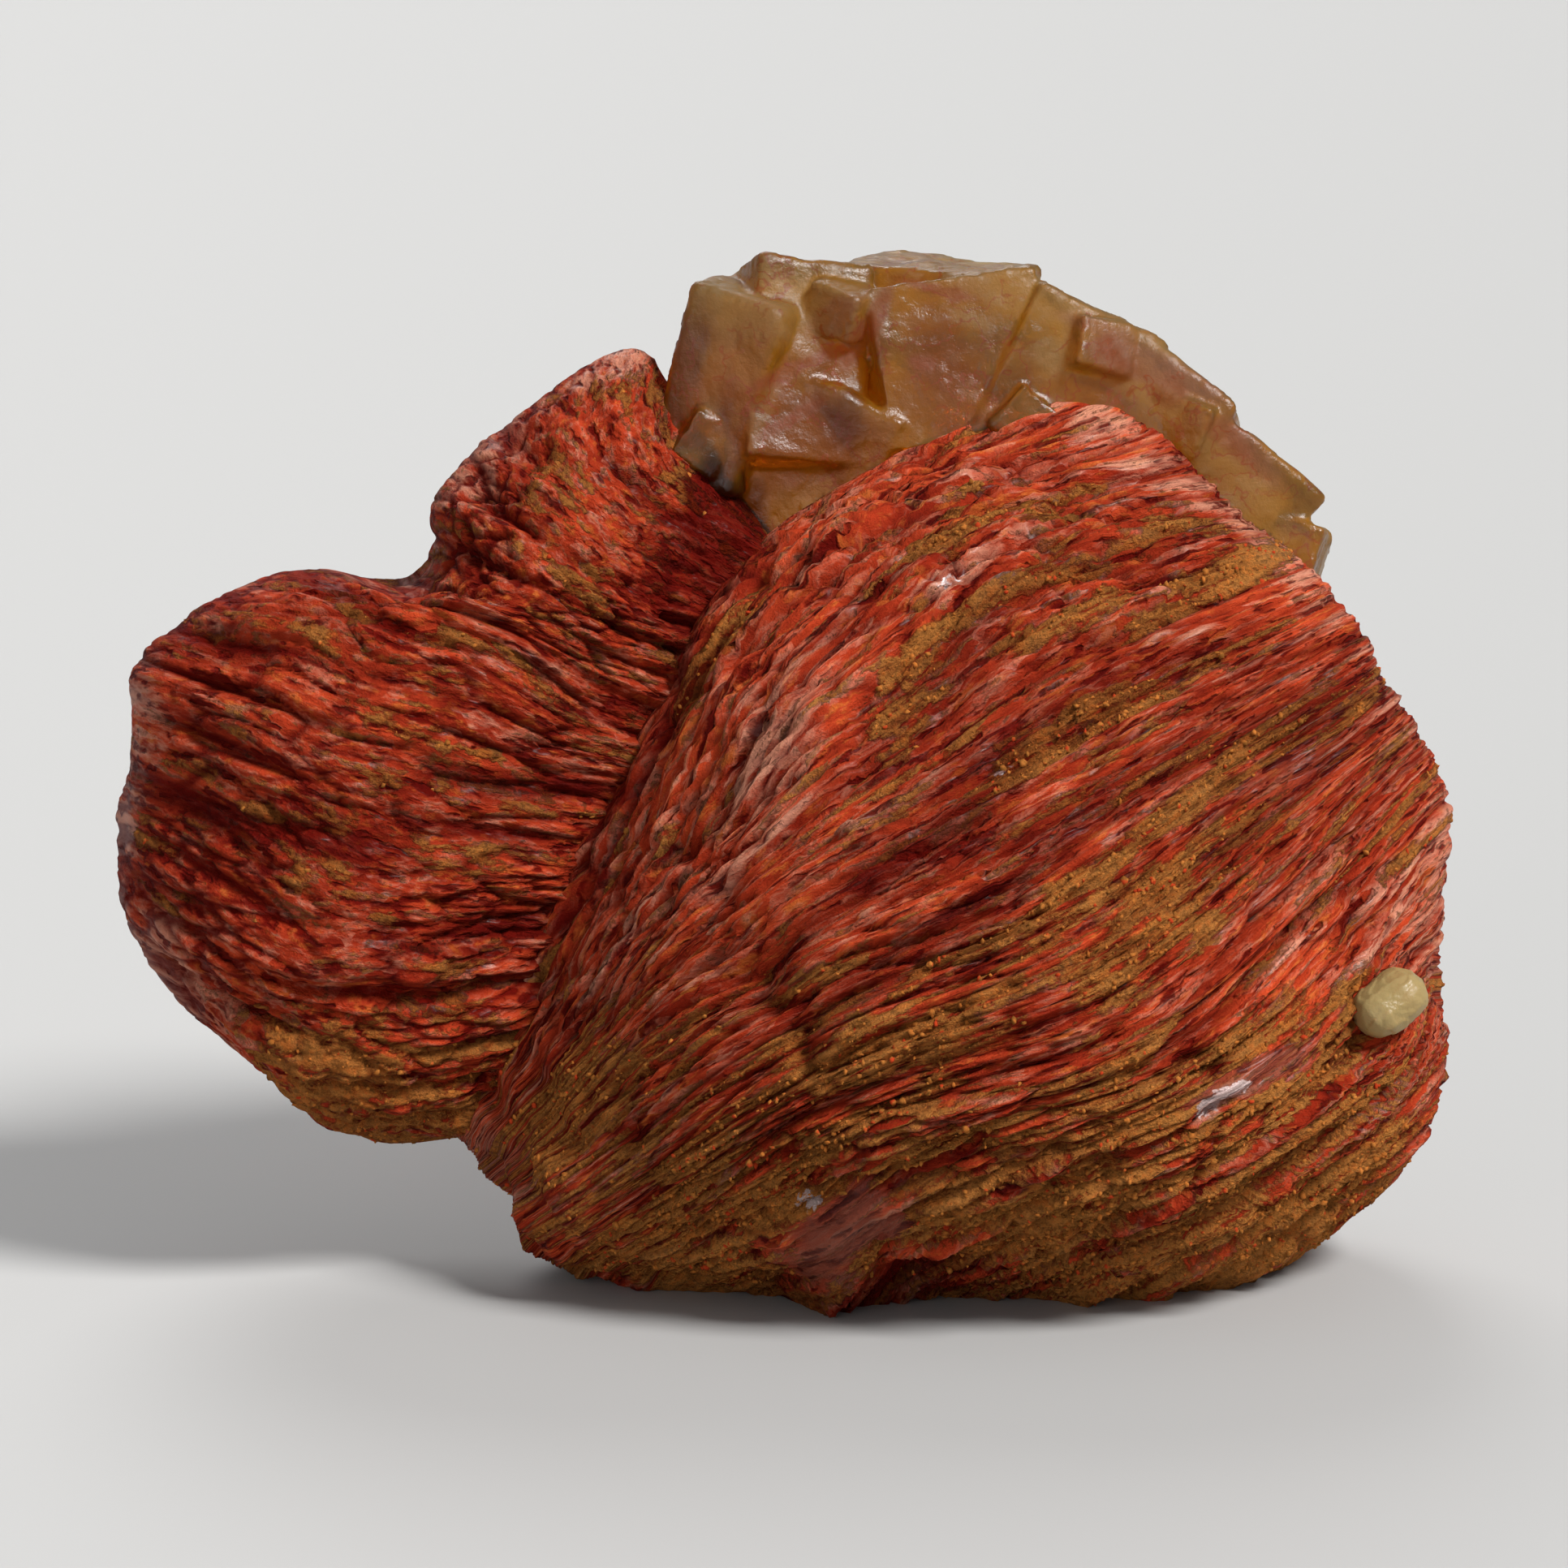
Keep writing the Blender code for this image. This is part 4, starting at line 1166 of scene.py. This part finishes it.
def crystal_mesh(name, cubes, voxel, coats, seed):
    """Cubes grown into each other, with their worn and pitted skin."""
    mesh = bpy.data.meshes.new(name)
    joined = bmesh.new()
    for cube in cubes:
        part = crystal_cube(*cube)
        part.to_mesh(mesh)
        part.free()
        joined.from_mesh(mesh)
    joined.to_mesh(mesh)
    joined.free()
    item = show(name, mesh)
    modifier = item.modifiers.new("grown_together", "REMESH")
    modifier.mode = "VOXEL"
    modifier.voxel_size = voxel / MM
    bpy.context.view_layer.update()
    grown = bpy.data.meshes.new_from_object(item.evaluated_get(bpy.context.evaluated_depsgraph_get()))
    bpy.data.objects.remove(item)
    grown.name = name
    count = len(grown.vertices)
    points = np.zeros(count * 3)
    normals = np.zeros(count * 3)
    grown.vertices.foreach_get("co", points)
    grown.vertex_normals.foreach_get("vector", normals)
    points = points.reshape(-1, 3)
    normals = normals.reshape(-1, 3)
    steps = np.round(TERRACES * layered_noise(points, CRYSTAL_GROWTH, seed))
    relief = layered_noise(points, CRYSTAL_WEAR, seed) + TERRACE_RISE * steps / TERRACES
    points = points + normals * relief[:, None]
    seen = seen_from_front(points)
    fray = layered_noise(points, CRYSTAL_FRAY, seed)
    for fact, rows in coats.items():
        attribute = grown.attributes.new(fact, "FLOAT", "POINT")
        attribute.data.foreach_set("value", np.clip(patch_strength(seen, rows, fray), 0, 1))
    grown.vertices.foreach_set("co", to_table(points).ravel())
    for face in grown.polygons:
        face.use_smooth = True
    grown.update()
    return grown


CENTRING = centring()


def make_fan(side, fan, rings, steps, coats):
    """Show one fan, with its crumbs, in place of its solid."""
    settings = bpy.context.scene.specimen_barite
    name = side + "_fan_blades"
    skin, facts, grain = fan_skin(fan, rings, steps, coats)
    mesh = fan_mesh(name, skin, facts, grain)
    piece(name, mesh, barite_finish(side + "_barite", settings), f"barite_{side}_fan")
    add_crumbs(side + "_fan_crumbs", fan, skin, facts, settings)


class SPECIMEN_OT_right_fan(bpy.types.Operator):
    """Make the big barite fan on the right"""
    bl_idname = "specimen.right_fan"
    bl_label = "Right fan"

    def execute(self, context):
        settings = context.scene.specimen_barite
        make_fan("right", RIGHT_FAN, settings.right_rings, settings.right_around, RIGHT_COATS)
        return {"FINISHED"}


class SPECIMEN_OT_left_fan(bpy.types.Operator):
    """Make the smaller barite fan on the left"""
    bl_idname = "specimen.left_fan"
    bl_label = "Left fan"

    def execute(self, context):
        settings = context.scene.specimen_barite
        make_fan("left", LEFT_FAN, settings.left_rings, settings.left_around, LEFT_COATS)
        return {"FINISHED"}


class SPECIMEN_OT_fluorite(bpy.types.Operator):
    """Make the fluorite along the top and the grain on the right"""
    bl_idname = "specimen.fluorite"
    bl_label = "Fluorite"

    def execute(self, context):
        settings = context.scene.specimen_fluorite
        mesh = crystal_mesh("honey_crystals", FLUORITE_CUBES, settings.voxel, FLUORITE_COATS, 61)
        honey = fluorite_finish("honey_fluorite_clear", settings, 0.88, settings.honey, settings.amber, 0.9)
        piece("honey_crystals", mesh, honey, "fluorite_cluster")
        mesh = crystal_mesh("pale_grain", [GRAIN], 0.5 * settings.voxel, NO_COATS, 67)
        pale = fluorite_finish("pale_fluorite_clear", settings, 0.5, settings.grain, settings.grain, 0.0)
        piece("pale_grain", mesh, pale, "fluorite_grain")
        return {"FINISHED"}


class SPECIMEN_OT_stage(bpy.types.Operator):
    """Make the floor, the light and the camera"""
    bl_idname = "specimen.stage"
    bl_label = "Stage"

    def execute(self, context):
        settings = context.scene.specimen_stage
        shape = bmesh.new()
        bmesh.ops.create_circle(shape, segments=96, radius=settings.floor_radius, cap_ends=True)
        mesh = bpy.data.meshes.new("floor")
        shape.to_mesh(mesh)
        shape.free()
        floor = show("floor", mesh)
        finish = Finish("pale_floor")
        finish.set(Base_Color=settings.floor, Roughness=0.6)
        mesh.materials.append(finish.material)

        world = bpy.data.worlds.new("studio")
        world.use_nodes = True
        background = world.node_tree.nodes["Background"]
        background.inputs["Color"].default_value = (*ROOM_COLOUR, 1.0)
        background.inputs["Strength"].default_value = ROOM_LIGHT
        context.scene.world = world

        for name, place, softness, power in LIGHTS:
            lamp = bpy.data.lights.new(name, "SUN")
            lamp.angle = math.radians(softness)
            lamp.energy = power
            light = show(name, lamp)
            light.rotation_euler = (-Vector(place)).to_track_quat("-Z", "Y").to_euler()

        eye = standing() @ Vector((VIEW_MIDDLE[0], -settings.camera_distance / MM, VIEW_MIDDLE[1]))
        view = bpy.data.cameras.new("camera")
        view.sensor_width = SENSOR_WIDTH
        view.lens = SENSOR_WIDTH * settings.camera_distance / settings.view_width
        view.clip_start = 0.01
        view.clip_end = 20.0
        camera = show("camera", view)
        camera.matrix_world = Matrix.Translation(eye + Vector(CENTRING)) @ Matrix.Rotation(
            math.radians(90.0) - LEAN_BACK, 4, "X")
        context.scene.camera = camera
        context.scene.view_settings.view_transform = "Standard"
        return {"FINISHED"}


class SPECIMEN_PT_panel(bpy.types.Panel):
    """The specimen's pieces"""
    bl_idname = "SPECIMEN_PT_panel"
    bl_label = "Specimen"
    bl_space_type = "VIEW_3D"
    bl_region_type = "UI"
    bl_category = "Specimen"

    def draw(self, context):
        for operator in OPERATORS:
            self.layout.operator(operator.bl_idname)
        for name in SETTINGS:
            group = getattr(context.scene, name)
            for key in group.bl_rna.properties.keys():
                if key not in ("rna_type", "name"):
                    self.layout.prop(group, key)


SETTINGS = {
    "specimen_barite": BariteSettings,
    "specimen_fluorite": FluoriteSettings,
    "specimen_stage": StageSettings,
}
OPERATORS = (SPECIMEN_OT_stage, SPECIMEN_OT_right_fan, SPECIMEN_OT_left_fan, SPECIMEN_OT_fluorite)
CLASSES = (*SETTINGS.values(), *OPERATORS, SPECIMEN_PT_panel)


def register():
    for item in CLASSES:
        bpy.utils.register_class(item)
    for name, group in SETTINGS.items():
        setattr(bpy.types.Scene, name, PointerProperty(type=group))


def unregister():
    for name in SETTINGS:
        delattr(bpy.types.Scene, name)
    for item in reversed(CLASSES):
        bpy.utils.unregister_class(item)


def main():
    register()
    bpy.ops.specimen.stage()
    bpy.ops.specimen.right_fan()
    bpy.ops.specimen.left_fan()
    bpy.ops.specimen.fluorite()
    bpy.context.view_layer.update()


if __name__ == "__main__":
    main()
